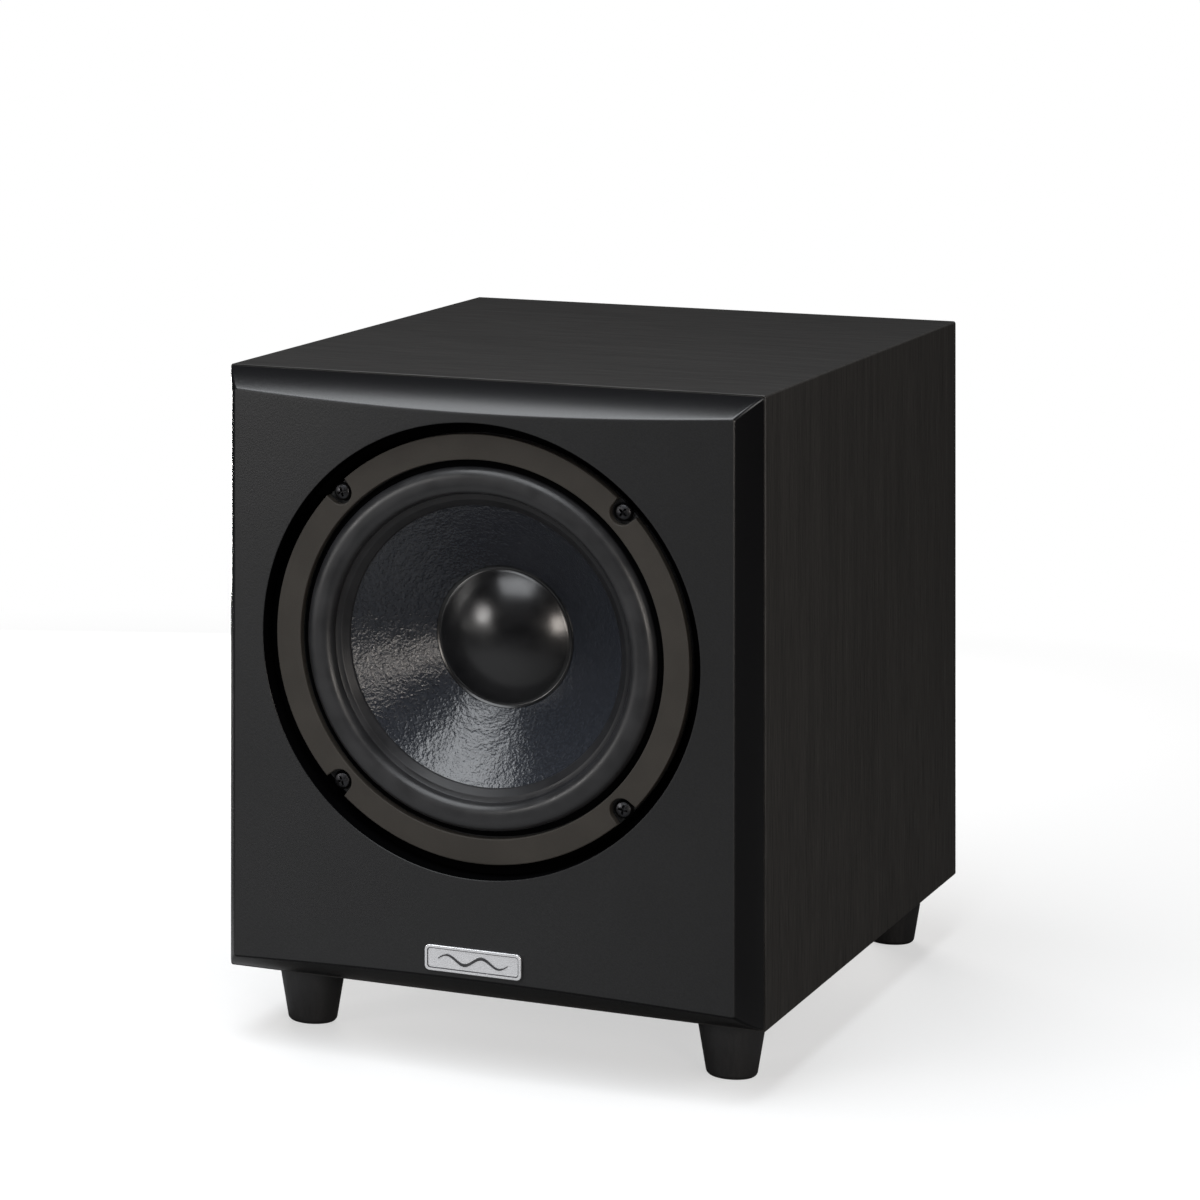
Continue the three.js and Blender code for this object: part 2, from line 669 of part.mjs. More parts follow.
function makeSockets() {
  const flange = block([-24, 24], [PLATE_BACK, PLATE_BACK + 2.5], [-12.5, 12.5]);
  const can = block([-14, 14], [PLATE_FRONT - 16, PLATE_BACK + 1], [-10.5, 10.5]);
  const well = block([-12, 12], [PLATE_FRONT - 13, PLATE_BACK + 4], [-8.2, 8.2]);
  const blades = [[-7, 0], [0, 3.5], [7, 0]].map(([x, z]) =>
    block([x - 1, x + 1], [PLATE_FRONT - 14, PLATE_BACK - 1], [z - 2, z + 2]),
  );
  const inlet = join(cut(join(flange, can), well), ...blades).translate(INLET_X, 0, MAINS_Z);
  add("mains_inlet", inlet, FINISH.blackPlastic);

  const base = block([-8, 8], [PLATE_BACK, PLATE_BACK + 2], [-21, 21]);
  const barrelProfile = [
    [0, PLATE_FRONT - 8],
    [4.2, PLATE_FRONT - 8],
    [4.2, PLATE_BACK + 10],
    [1.7, PLATE_BACK + 10],
    [1.7, PLATE_BACK + 1],
    [0, PLATE_BACK + 1],
  ];
  const barrels = [-11, 11].map((z) => turned(barrelProfile, 12).translate(0, 0, z));
  add("input_sockets", join(base, ...barrels).translate(SOCKET_X, 0, CONTROL_Z), FINISH.blackPlastic);

  const lens = [
    [0, PLATE_FRONT - 3],
    [2.6, PLATE_FRONT - 3],
    [2.6, PLATE_BACK + 0.6],
    [1.8, PLATE_BACK + 1.9],
    [0, PLATE_BACK + 2.4],
  ];
  add("power_light", turned(lens, 12).translate(LED_X, 0, MAINS_Z), FINISH.redLens);
}

function makeElectronics() {
  const low = AMP_Z - 52;
  const board = block([-84, 84], [BOARD_Y, BOARD_Y + 1.6], [low, AMP_Z + 98]);
  add("circuit_board", board, FINISH.circuit);
  const can = [[0, 310], [12.5, 310], [12.5, BOARD_Y], [0, BOARD_Y]];
  [-16, 16].forEach((across, i) => {
    const name = `reservoir_capacitor_${i + 1}`;
    add(name, turned(can, 20).translate(across, 0, AMP_Z + 40), FINISH.capSleeve);
  });
  const { x, y, hole, radius, height, chamfer } = TRANSFORMER;
  const floor = BOTTOM + CABINET.board;
  const ring = [
    [hole, floor],
    [radius - chamfer, floor],
    [radius, floor + chamfer],
    [radius, floor + height - chamfer],
    [radius - chamfer, floor + height],
    [hole, floor + height],
  ];
  add("mains_transformer", turnedUpright(ring, 24).translate(x, y, 0), FINISH.tape);

  const path = new THREE.CatmullRomCurve3([
    new THREE.Vector3(87, 42, DRIVER_Z - 7),
    new THREE.Vector3(92, 90, DRIVER_Z - 20),
    new THREE.Vector3(78, 210, BOTTOM + 92),
    new THREE.Vector3(60, 300, BOTTOM + 110),
    new THREE.Vector3(50, BOARD_Y - 3, AMP_Z - 20),
  ]);
  const round = new THREE.Shape().absarc(0, 0, 2.2, 0, 2 * Math.PI);
  const settings = { extrudePath: path, steps: 12, curveSegments: 3, bevelEnabled: false };
  add("speaker_cable", new THREE.ExtrudeGeometry(round, settings), FINISH.cableSleeve);

  const { thickness, front, back, margin } = WADDING;
  const wall = -INNER_HALF + CLEAR;
  const pad = block([wall, wall + thickness], [front, back], [BOTTOM + margin, TOP - margin]);
  add("acoustic_wadding", pad, FINISH.wadding);
}

function makeAmplifier() {
  add("amp_plate", makeAmpPlate(), FINISH.ampPlate);
  add("amp_gasket", makeAmpGasket(), FINISH.foam);
  add("heat_sink", makeHeatSink(), FINISH.anodised);
  makeControls();
  makePowerSwitch();
  makeSockets();
  makeElectronics();
  const profile = [
    [0, PLATE_BACK + 2.4],
    [2.6, PLATE_BACK + 2.2],
    [3.9, PLATE_BACK + 1],
    [3.9, PLATE_BACK],
    [1.7, PLATE_BACK],
    [1.7, CABINET.depth - 10.5],
    [0, CABINET.depth - 12],
  ];
  ampScrewPlaces.forEach(([x, z], i) => {
    add(`amp_screw_${i + 1}`, turned(profile, 8).translate(x, 0, z), FINISH.blackSteel);
  });
}

// ---- Assembly ----

makeCabinet();
makeBadge();
makeFeet();
add("driver_gasket", makeGasket(), FINISH.foam);
add("driver_basket", makeBasket(), FINISH.castAlloy);
add("trim_ring", makeTrimRing(), FINISH.ringPlastic);
makeDriverScrews();
makeMotor();
makeMovingParts();
makeAmplifier();

const frontLimit = FASCIA.centreDepth + BADGE.thickness;
const rearLimit = PLATE_BACK + HEAT_SINK.base + HEAT_SINK.finHeight;
subwoofer.position.y = (frontLimit - rearLimit) / 2;

export default subwoofer;
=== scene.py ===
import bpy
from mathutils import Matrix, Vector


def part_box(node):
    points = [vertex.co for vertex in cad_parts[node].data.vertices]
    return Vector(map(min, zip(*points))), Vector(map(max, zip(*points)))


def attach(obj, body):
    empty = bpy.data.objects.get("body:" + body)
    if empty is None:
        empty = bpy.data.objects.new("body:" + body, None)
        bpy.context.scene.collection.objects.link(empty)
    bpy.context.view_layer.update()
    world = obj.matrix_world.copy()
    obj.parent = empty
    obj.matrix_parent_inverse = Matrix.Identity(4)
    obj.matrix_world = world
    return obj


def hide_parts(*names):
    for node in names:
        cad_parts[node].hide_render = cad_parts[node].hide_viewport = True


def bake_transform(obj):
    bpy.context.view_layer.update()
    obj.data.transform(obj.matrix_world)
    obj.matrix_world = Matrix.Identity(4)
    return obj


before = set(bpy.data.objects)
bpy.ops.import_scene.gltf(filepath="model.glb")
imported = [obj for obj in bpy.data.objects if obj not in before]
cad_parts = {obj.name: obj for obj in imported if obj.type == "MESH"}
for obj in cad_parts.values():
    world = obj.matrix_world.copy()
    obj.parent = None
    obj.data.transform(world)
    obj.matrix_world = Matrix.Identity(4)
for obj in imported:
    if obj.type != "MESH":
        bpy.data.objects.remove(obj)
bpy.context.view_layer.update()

# The looks of an active subwoofer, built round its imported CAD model.
#
# Shapes are drawn in millimetres in the cabinet's own frame: X to the right, Y towards the
# back with 0 at the seam between fascia and carcass, Z up from the floor. to_row() takes a
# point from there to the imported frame, in metres.

from math import asin, atan2, copysign, cos, degrees, hypot, pi, radians, sin, sqrt

import bmesh
import bpy
from mathutils import Vector, noise
from mathutils.geometry import tessellate_polygon

MM = 0.001
ON_AXIS = 1e-6
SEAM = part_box("top_panel")[0].y


def to_row(point):
    x, y, z = point
    return (x * MM, SEAM + y * MM, z * MM)


def limits(node):
    """Lowest corner, highest corner and middle of a CAD node, in the cabinet's frame."""
    seam = Vector((0, SEAM, 0))
    low, high = [(corner - seam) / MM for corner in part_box(node)]
    return low, high, (low + high) / 2


def middle(node):
    return limits(node)[2]


# ---- Driving dimensions, in millimetres ----

HALF = limits("right_panel")[1].x
BOTTOM = limits("bottom_panel")[0].z
TOP = limits("top_panel")[1].z
DEPTH = limits("top_panel")[1].y
BOARD = 15
MIDDLE_Z = (TOP + BOTTOM) / 2
HALF_HEIGHT = (TOP - BOTTOM) / 2

FASCIA_EDGE_DEPTH = 20.2
FASCIA_CENTRE_DEPTH = 26.1
FASCIA_CORNER = 1.6
SHADOW_GAP = 0.6
BEVEL_SLOPE = 0.261
BEVEL_CURVE = 0.0101
RECESS_RADIUS = 113.4
HOLE_RADIUS = 96
SEAT_Y = -9.5

DRIVER_Z = middle("trim_ring").z
RING_FRONT = limits("trim_ring")[0].y
RING_OUTER = limits("trim_ring")[1].x
RING_INNER = 94.4
FLANGE_FRONT = -13
FLANGE_BACK = -11
SCREW_CIRCLE = 103.5

CONE_EDGE = 74.2
CONE_NECK = 26.2
CONE_SLOPE = 0.9
CONE_WALL = 1.35
CAP_RADIUS = 34.5
CAP_RIM_Y = 23.2
CAP_RISE = 10.5

PLATE_FRONT = limits("amp_gasket")[1].y
PLATE_BACK = limits("amp_plate")[1].y


# ---- Outlines ----


def direction(turn):
    """A step of length 1 at an angle in degrees, anticlockwise from X."""
    angle = radians(turn)
    return Vector((cos(angle), sin(angle)))


def arc(centre, radius, start, end, steps):
    """Points on an arc, with both ends."""
    turn = (end - start) / steps
    return [Vector(centre) + direction(start + turn * i) * radius for i in range(steps + 1)]


def circle(radius, count, centre=(0, 0)):
    return arc(centre, radius, 0, 360 * (count - 1) / count, count - 1)


def rounded_rectangle(low, high, radius, steps=5):
    """An anticlockwise outline between two corners."""
    low, high = low + Vector((radius, radius)), high - Vector((radius, radius))
    points = []
    for quarter, centre in enumerate((high, (low.x, high.y), low, (high.x, low.y))):
        points += arc(centre, radius, 90 * quarter, 90 * quarter + 90, steps)
    return points


def box_outline(centre, half_width, half_height, radius, steps=5):
    """A rounded rectangle about the (x, z) of a point."""
    half = Vector((half_width, half_height))
    return rounded_rectangle(centre.xz - half, centre.xz + half, radius, steps)


def hole(outline):
    """The outline run the other way round, so that a plate leaves it open."""
    return list(reversed(outline))


def bend(start, corner, end, steps):
    """A curve from start to end that heads for the corner between them."""
    shares = [k / steps for k in range(steps + 1)]
    return [start * (1 - t) ** 2 + corner * 2 * t * (1 - t) + end * t * t for t in shares]


def eased(profile, radius, steps=4):
    """A closed outline with its sharp corners turned into short curves. Points on the axis stay."""
    points = [Vector(p) for p in profile]
    result = []
    for i, point in enumerate(points):
        before, after = points[i - 1], points[(i + 1) % len(points)]
        arriving, leaving = point - before, after - point
        if point.x < ON_AXIS or arriving.angle(leaving, 0) < radians(20):
            result.append(point)
            continue
        reach = min(radius, 0.45 * arriving.length, 0.45 * leaving.length)
        start = point - arriving.normalized() * reach
        end = point + leaving.normalized() * reach
        result += bend(start, point, end, steps)
    return result


def drawn_in(outline, distance):
    """A closed outline moved towards the side on its left."""
    result = []
    count = len(outline)
    for i, point in enumerate(outline):
        arriving = (point - outline[i - 1]).normalized()
        leaving = (outline[(i + 1) % count] - point).normalized()
        first = Vector((-arriving.y, arriving.x))
        second = Vector((-leaving.y, leaving.x))
        result.append(point + (first + second) * (distance / (1 + max(first.dot(second), -0.5))))
    return result


# ---- Solids ----


class Shape:
    """Points in millimetres, and faces that list them by number."""

    def __init__(self, points=(), faces=()):
        self.points = list(points)
        self.faces = [list(face) for face in faces]

    def ring(self, points):
        start = len(self.points)
        self.points.extend(points)
        return list(range(start, len(self.points)))

    def join(self, rings):
        """Faces between each ring and the next. A ring of one point makes a fan."""
        for first, second in zip(rings, rings[1:]):
            count = max(len(first), len(second))
            for i in range(count if count > 1 else 0):
                k = (i + 1) % count
                if len(first) == 1:
                    self.faces.append([first[0], second[k], second[i]])
                elif len(second) == 1:
                    self.faces.append([first[i], first[k], second[0]])
                else:
                    self.faces.append([first[i], first[k], second[k], second[i]])

    def mapped(self, change):
        return Shape([change(*point) for point in self.points], self.faces)

    def moved(self, x=0, y=0, z=0):
        return self.mapped(lambda a, b, c: (a + x, b + y, c + z))

    def upright(self, x=0, y=0):
        """The shape with its Y axis stood up along Z, at a place on the floor."""
        return self.mapped(lambda a, b, c: (a + x, c + y, b))

    def __add__(self, other):
        offset = len(self.points)
        shifted = [[index + offset for index in face] for face in other.faces]
        return Shape(self.points + other.points, self.faces + shifted)


def turned(profile, segments=96, centre=(0, 0), radius_at=None):
    """A profile of (radius, y) turned about the Y axis through centre (x, z).

    It starts and ends on the axis, or closes on itself.
    """
    shape = Shape()
    rings = []
    for radius, y in profile:
        points = []
        for k in range(segments if radius > ON_AXIS else 1):
            angle = 2 * pi * k / segments
            size = radius_at(radius, y, angle) if radius_at and radius > ON_AXIS else radius
            points.append((centre[0] + size * cos(angle), y, centre[1] + size * sin(angle)))
        rings.append(shape.ring(points))
    shape.join(rings if len(rings[0]) == 1 else rings + rings[:1])
    return shape


def plate(outlines, front, back, edge, steps=3):
    """A flat plate between two y values, with eased edges. The solid lies to each outline's left."""
    shape = Shape()
    rows = []
    for k in range(steps + 1 if edge else 1):
        angle = pi / 2 * k / steps
        rows.append((edge * (1 - sin(angle)), edge * (1 - cos(angle))))
    sides = [(offset, front + rise) for offset, rise in rows]
    sides += [(offset, back - rise) for offset, rise in reversed(rows)]
    stacks = []
    for outline in outlines:
        rings = [shape.ring([(p.x, y, p.y) for p in drawn_in(outline, offset)]) for offset, y in sides]
        shape.join(rings)
        stacks.append(rings)
    for end in (0, -1):
        caps = [rings[end] for rings in stacks]
        flat = [index for ring in caps for index in ring]
        loops = [[Vector(shape.points[index]) for index in ring] for ring in caps]
        for triangle in tessellate_polygon(loops):
            shape.faces.append([flat[index] for index in triangle])
    return shape


def bar(start, end, width, front, back, edge=0.0):
    """A straight plate from one (x, z) point to another."""
    start, end = Vector(start), Vector(end)
    along = (end - start).normalized()
    side = Vector((-along.y, along.x)) * width / 2
    return plate([[start - side, end - side, end + side, start + side]], front, back, edge)


def closed_mesh(name, shape, scale):
    mesh = bpy.data.meshes.new(name)
    mesh.from_pydata([scale(point) for point in shape.points], [], shape.faces)
    edit = bmesh.new()
    edit.from_mesh(mesh)
    bmesh.ops.remove_doubles(edit, verts=edit.verts, dist=1e-7)
    bmesh.ops.recalc_face_normals(edit, faces=edit.faces)
    edit.to_mesh(mesh)
    edit.free()
    return mesh


def placed(name, data):
    """A new object in the scene."""
    obj = bpy.data.objects.new(name, data)
    bpy.context.scene.collection.objects.link(obj)
    return obj


def carved(shape, *cutters):
    """The shape without the space that the cutters fill."""
    made = [placed("blank", closed_mesh("blank", part, Vector)) for part in (shape, *cutters)]
    for cutter in made[1:]:
        modifier = made[0].modifiers.new("cut", "BOOLEAN")
        modifier.object = cutter
        modifier.solver = "EXACT"
    depsgraph = bpy.context.evaluated_depsgraph_get()
    result = bpy.data.meshes.new_from_object(made[0].evaluated_get(depsgraph))
    points = [tuple(vertex.co) for vertex in result.vertices]
    faces = [list(face.vertices) for face in result.polygons]
    for obj in made:
        bpy.data.objects.remove(obj)
    return Shape(points, faces)


# ---- Pieces ----


def even_normals(obj):
    modifier = obj.modifiers.new("even_normals", "WEIGHTED_NORMAL")
    modifier.keep_sharp = True


def unattached(name, shape, look, node=None, sharp=35):
    mesh = closed_mesh(name, shape, to_row)
    mesh.shade_smooth()
    mesh.set_sharp_from_angle(angle=radians(sharp))
    mesh.materials.append(look.material)
    obj = placed(name, mesh)
    even_normals(obj)
    if node:
        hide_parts(node)
    return obj


def make(name, shape, look, node=None, body="cabinet", sharp=35):
    """A piece of the object, riding on a body, in place of the CAD node that it stands for."""
    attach(unattached(name, shape, look, node, sharp), body)


def keep(node, look, edge=0.4):
    """Shows a CAD node as it is, with eased edges and its own finish."""
    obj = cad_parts[node]
    obj.data.materials.clear()
    obj.data.materials.append(look.material)
    weld = obj.modifiers.new("weld", "WELD")
    weld.merge_threshold = 1e-5
    bevel = obj.modifiers.new("eased_edges", "BEVEL")
    bevel.width = edge * MM
    bevel.segments = 3
    bevel.limit_method = "ANGLE"
    bevel.angle_limit = radians(40)
    even_normals(obj)


# ---- Materials ----


def add_node(tree, kind, inputs, **settings):
    """A shader node whose inputs are values or other nodes' outputs. Gives its own outputs."""
    made = tree.nodes.new("ShaderNode" + kind)
    for key, value in settings.items():
        setattr(made, key, value)
    for key, value in inputs.items():
        if isinstance(value, bpy.types.NodeSocket):
            tree.links.new(value, made.inputs[key])
        else:
            made.inputs[key].default_value = value
    return made.outputs


class Finish:
    """A procedural finish. Sizes and depths of its patterns are in millimetres."""

    def __init__(self, name, colour, roughness, metallic=0.0, specular=0.5, slot=None, **others):
        self.slot = slot or name
        self.material = bpy.data.materials.new(name)
        self.material.use_nodes = True
        self.tree = self.material.node_tree
        self.shader = self.tree.nodes["Principled BSDF"]
        values = {"Metallic": metallic, "Roughness": roughness, "Specular IOR Level": specular}
        for key, value in {**values, **others}.items():
            self.shader.inputs[key.replace("_", " ")].default_value = value
        self.place = self.node("TexCoord", {})["Object"]
        self.outward = self.node("NewGeometry", {})["Normal"]
        self.normal = None
        start = self.node("RGB", {})[0]
        start.default_value = (*colour, 1)
        self.paint(start)

    def paint(self, colour):
        self.colour = colour
        self.drive("Base Color", colour)

    def drive(self, name, value):
        """Lets a pattern set an input of the shader."""
        self.tree.links.new(value, self.shader.inputs[name])

    def node(self, kind, inputs, **settings):
        return add_node(self.tree, kind, inputs, **settings)

    def pattern(self, size, stretch):
        stretched = self.node("Mapping", {"Vector": self.place, "Scale": stretch})[0]
        return {"Vector": stretched, "Scale": 1 / (size * MM)}

    def noise(self, size, stretch=(1, 1, 1), detail=4.0, distortion=0.0):
        """Soft noise between 0 and 1 with features of about the given size."""
        inputs = {**self.pattern(size, stretch), "Detail": detail, "Distortion": distortion}
        return self.node("TexNoise", inputs)["Fac"]

    def cells(self, size, stretch=(1, 1, 1), feature="F1"):
        return self.node("TexVoronoi", self.pattern(size, stretch), feature=feature)["Distance"]

    def spread(self, value, low, high, to_low=0.0, to_high=1.0):
        inputs = {"Value": value, "From Min": low, "From Max": high, "To Min": to_low, "To Max": to_high}
        return self.node("MapRange", inputs)[0]

    def blend(self, first, second, share):
        return self.node("Mix", {0: share, 2: first, 3: second})[0]

    def times(self, first, second):
        return self.node("Math", {0: first, 1: second}, operation="MULTIPLY")[0]

    def facing(self, axis):
        """How far the surface faces along an axis, from -1 to 1."""
        return self.node("SeparateXYZ", {0: self.outward})[axis]

    def along(self, axis):
        return self.node("SeparateXYZ", {0: self.place})[axis]

    def distance(self, centre, flatten=(1, 1, 1)):
        """Distance in metres from a point, with some directions left out by a scale of 0."""
        place = self.node("Mapping", {"Vector": self.place, "Scale": flatten})[0]
        return self.node("VectorMath", {0: place, 1: centre}, operation="DISTANCE")["Value"]

    def from_driver_axis(self):
        return self.distance((0, 0, DRIVER_Z * MM), (1, 0, 1))

    def edges(self, radius):
        """1 on edges sharper than the radius, 0 on open surface."""
        soft = self.node("Bevel", {"Radius": radius * MM}, samples=4)[0]
        dot = self.node("VectorMath", {0: soft, 1: self.outward}, operation="DOT_PRODUCT")
        return self.spread(dot["Value"], 0.995, 0.9)

    def tint(self, value, dark, light, low=0.35, high=0.65):
        """Scales the colour between dark and light as value goes from low to high."""
        inputs = {0: self.colour, "Scale": self.spread(value, low, high, dark, light)}
        self.paint(self.node("VectorMath", inputs, operation="SCALE")[0])

    def stain(self, value, colour):
        """Turns the colour towards another one as value goes from 0 to 1."""
        inputs = {0: value, 6: self.colour, 7: (*colour, 1)}
        self.paint(self.node("Mix", inputs, data_type="RGBA")[2])

    def wear(self, radius, share, colour):
        """Turns the colour of sharp edges some way towards a paler one."""
        self.stain(self.times(self.edges(radius), share), colour)

    def roughen(self, value, smooth, rough, low=0.35, high=0.65):
        self.drive("Roughness", self.spread(value, low, high, smooth, rough))

    def relief(self, value, depth):
        inputs = {"Height": value, "Distance": depth * MM, "Strength": 1.0}
        if self.normal is not None:
            inputs["Normal"] = self.normal
        self.normal = self.node("Bump", inputs)[0]
        self.drive("Normal", self.normal)

    def vary(self, value, tones=None, rough=None, depth=None, low=0.35, high=0.65):
        """Lets one pattern scale the colour, set the roughness and raise the surface."""
        if tones:
            self.tint(value, *tones, low, high)
        if rough:
            self.roughen(value, *rough, low, high)
        if depth:
            self.relief(value, depth)

    def grain(self, size, stretch=(1, 1, 1), detail=4.0, distortion=0.0, **effects):
        self.vary(self.noise(size, stretch, detail, distortion), **effects)


def cabinet_wrap():
    """Black ash vinyl. Its grain runs round the box, and stands upright on the back. Painted light makes
    every face but the top paler.
    """
    look = Finish("cabinet_wrap", (0.0215, 0.0203, 0.0192), 0.55, specular=0.3)
    on_back = look.spread(look.facing(1), 0.7, 0.8)

    def grain(size, squeeze, **pattern):
        round_the_box = look.noise(size, (squeeze, 1, squeeze), **pattern)
        upright = look.noise(size, (1, 1, squeeze), **pattern)
        return look.blend(round_the_box, upright, on_back)

    look.vary(grain(0.7, 0.03, detail=6), tones=(0.72, 1.3), rough=(0.66, 0.5), depth=0.05)
    look.tint(grain(7, 0.06, detail=3, distortion=0.4), 0.86, 1.14)
    # Painted light: faces that do not look up are scaled 1.25 times paler, and the top 0.95 times.
    look.tint(look.facing(2), 1.25, 0.95, 0, 1)
    look.wear(0.9, 0.3, (0.06, 0.058, 0.056))
    look.grain(0.35, detail=2, depth=0.012)
    return look


def fascia_paint():
    """Black satin paint, with a paler sand texture on the bowed face. Painted shade darkens the driver
    recess and takes its sheen off, and darkens surfaces that face down and dulls their sheen.
    """
    look = Finish("fascia_paint", (0.0035, 0.0035, 0.004), 0.26)
    level = SEAM - (FASCIA_EDGE_DEPTH - 1) * MM
    faces_front = look.spread(look.facing(1), -0.82, -0.94)
    stands_forward = look.spread(look.along(1), level + 0.5 * MM, level)
    face = look.times(faces_front, stands_forward)
    from_axis = look.from_driver_axis()
    clear_of_painted_recess_shade = look.spread(from_axis, RECESS_RADIUS * MM, (RECESS_RADIUS + 0.5) * MM)
    clear_of_painted_underside_shade = look.spread(look.facing(2), -0.35, -0.1)
    sand = look.noise(0.9, detail=5)
    look.stain(face, (0.0115, 0.0117, 0.0124))
    look.tint(sand, 0.88, 1.12)
    look.grain(40, detail=3, tones=(0.96, 1.04))
    # Painted shade: inside the driver recess the colour drops to 0.4.
    look.tint(clear_of_painted_recess_shade, 0.4, 1, 0, 1)
    # Painted shade: surfaces that face down drop to half their colour.
    look.tint(clear_of_painted_underside_shade, 0.5, 1, 0, 1)
    look.roughen(face, 0.26, 0.43, 0, 1)
    # Painted shade also takes the sheen off inside the recess and cuts it to a quarter on surfaces that
    # face down.
    shine = look.times(clear_of_painted_recess_shade, look.spread(face, 0, 1, 0.5, 0.3))
    look.drive("Specular IOR Level", look.times(shine, look.spread(clear_of_painted_underside_shade, 0, 1, 0.25, 1)))
    look.relief(look.times(sand, face), 0.09)
    look.grain(3.5, detail=2, depth=0.01)
    return look


def surround_rubber():
    """Satin rubber. The foot glued down behind the trim ring carries painted shade: it is dark and has
    no sheen.
    """
    look = Finish("surround_rubber", (0.015, 0.015, 0.0162), 0.36)
    clear_of_painted_foot_shade = look.spread(look.from_driver_axis(), 91.0 * MM, 90.6 * MM)
    on_roll = look.spread(look.from_driver_axis(), 76.6 * MM, 77.6 * MM)
    look.grain(14, detail=5, tones=(0.85, 1.2), rough=(0.31, 0.43))
    # Painted shade: beyond the roll's outer edge the colour drops to 0.12 and the sheen to none.
    look.tint(clear_of_painted_foot_shade, 0.12, 1, 0, 1)
    shine = look.spread(on_roll, 0, 1, 0.22, 0.42)
    look.drive("Specular IOR Level", look.times(clear_of_painted_foot_shade, shine))
    look.grain(0.6, detail=4, depth=0.02)
    look.grain(6, detail=2, depth=0.05)
    return look


def spider_cloth():
    """Resin-dipped cotton: a fine square weave in ochre."""
    look = Finish("spider_cloth", (0.36, 0.22, 0.07), 0.85)
    warp = look.noise(0.5, (1, 1, 0.08), detail=1)
    weft = look.noise(0.5, (0.08, 1, 1), detail=1)
    look.vary(look.times(warp, weft), tones=(0.6, 1.3), depth=0.25, low=0.12, high=0.4)
    look.grain(12, detail=3, tones=(0.85, 1.1))
    return look


def circuit():
    """Green solder mask over tracks."""
    look = Finish("circuit", (0.012, 0.13, 0.045), 0.3)
    tracks = look.cells(9, feature="DISTANCE_TO_EDGE")
    look.tint(tracks, 1.7, 0.9, 0.02, 0.08)
    look.grain(2, detail=2, tones=(0.85, 1.1))
    look.relief(look.spread(tracks, 0.1, 0.02), 0.04)
    look.grain(4, rough=(0.25, 0.4))
    return look


def moulded(name, colour):
    """Moulded plastic with a fine sand texture, for small parts that share one slot."""
    look = Finish(name, colour, 0.4, slot="black_plastic")
    look.grain(7, detail=3, tones=(0.85, 1.2))
    look.grain(0.4, rough=(0.34, 0.48), depth=0.02)
    return look


def metal(name, colour, roughness, slot=None):
    """Bare or plated metal with fine marks and a few duller patches."""
    look = Finish(name, colour, roughness, metallic=1.0, slot=slot)
    look.grain(5, detail=3, tones=(0.88, 1.08))
    look.grain(0.5, detail=5, rough=(roughness * 0.8, roughness * 1.3), depth=0.006)
    return look


WRAP = cabinet_wrap()
PAINT = fascia_paint()
RUBBER = surround_rubber()
SPIDER_CLOTH = spider_cloth()
CIRCUIT = circuit()
BLACK_PLASTIC = moulded("black_plastic", (0.019, 0.019, 0.020))
RED_PLASTIC = moulded("red_plastic", (0.32, 0.012, 0.01))
WHITE_PLASTIC = moulded("white_plastic", (0.6, 0.59, 0.56))
STEEL = metal("steel", (0.56, 0.57, 0.58), 0.3)
BLACK_STEEL = metal("black_steel", (0.045, 0.045, 0.048), 0.34)
ENAMEL = metal("enamel", (0.085, 0.085, 0.09), 0.42, slot="badge_silver")

# Warm grey moulded plastic with a spark-eroded texture.
RING_PLASTIC = Finish("ring_plastic", (0.032, 0.0285, 0.0245), 0.55, specular=0.22)
RING_PLASTIC.grain(18, detail=3, tones=(0.92, 1.08))
RING_PLASTIC.grain(0.5, tones=(0.9, 1.1), rough=(0.5, 0.64), depth=0.05)
RING_PLASTIC.wear(0.6, 0.25, (0.09, 0.085, 0.078))

# Coated pulp: a glossy skin over a crinkled sheet.
CONE_SHEET = Finish("cone_sheet", (0.0165, 0.0185, 0.0235), 0.25, specular=0.6)
CONE_SHEET.grain(9, detail=3, rough=(0.18, 0.24))
CONE_SHEET.grain(5, detail=1, depth=0.3)
CONE_SHEET.grain(1.5, detail=2, tones=(0.8, 1.25), depth=0.34)

CAP_GLOSS = Finish("cap_gloss", (0.006, 0.006, 0.0065), 0.22)
CAP_GLOSS.grain(11, detail=5, tones=(0.85, 1.2), rough=(0.2, 0.26))
CAP_GLOSS.grain(9, detail=2, depth=0.01)
CAP_GLOSS.grain(0.4, detail=3, depth=0.0015)

FOAM = Finish("foam", (0.010, 0.010, 0.011), 0.95)
FOAM.vary(FOAM.cells(0.9), tones=(0.6, 1.5), depth=0.3, low=0.1, high=0.6)

CAST = Finish("cast_frame", (0.010, 0.0105, 0.0115), 0.5, specular=0.25)
CAST.grain(22, tones=(0.85, 1.15))
CAST.grain(1.1, detail=3, rough=(0.42, 0.6), depth=0.05)

# Chipboard: pressed flakes in two tones.
BARE_BOARD = Finish("bare_board", (0.33, 0.22, 0.12), 0.88)
BARE_BOARD.vary(
    BARE_BOARD.cells(2.4, (1, 1, 0.5)), tones=(0.65, 1.25), depth=0.12, low=0.05, high=0.65
)
BARE_BOARD.grain(0.6, detail=5, tones=(0.85, 1.15))

FOOT_PLASTIC = Finish("foot_plastic", (0.017, 0.017, 0.018), 0.42)
FOOT_PLASTIC.grain(0.6, tones=(0.86, 1.16), depth=0.03)
FOOT_PLASTIC.grain(1.2, (1, 1, 0.08), detail=3, rough=(0.36, 0.5))
FOOT_PLASTIC.wear(0.7, 0.3, (0.05, 0.05, 0.052))

BADGE_SILVER = Finish("badge_silver", (0.78, 0.78, 0.8), 0.24, metallic=0.8)
BADGE_SILVER.grain(0.25, (0.04, 1, 1), tones=(0.93, 1.05), rough=(0.2, 0.32), depth=0.004)
BADGE_SILVER.wear(0.4, 0.3, (0.86, 0.86, 0.88))

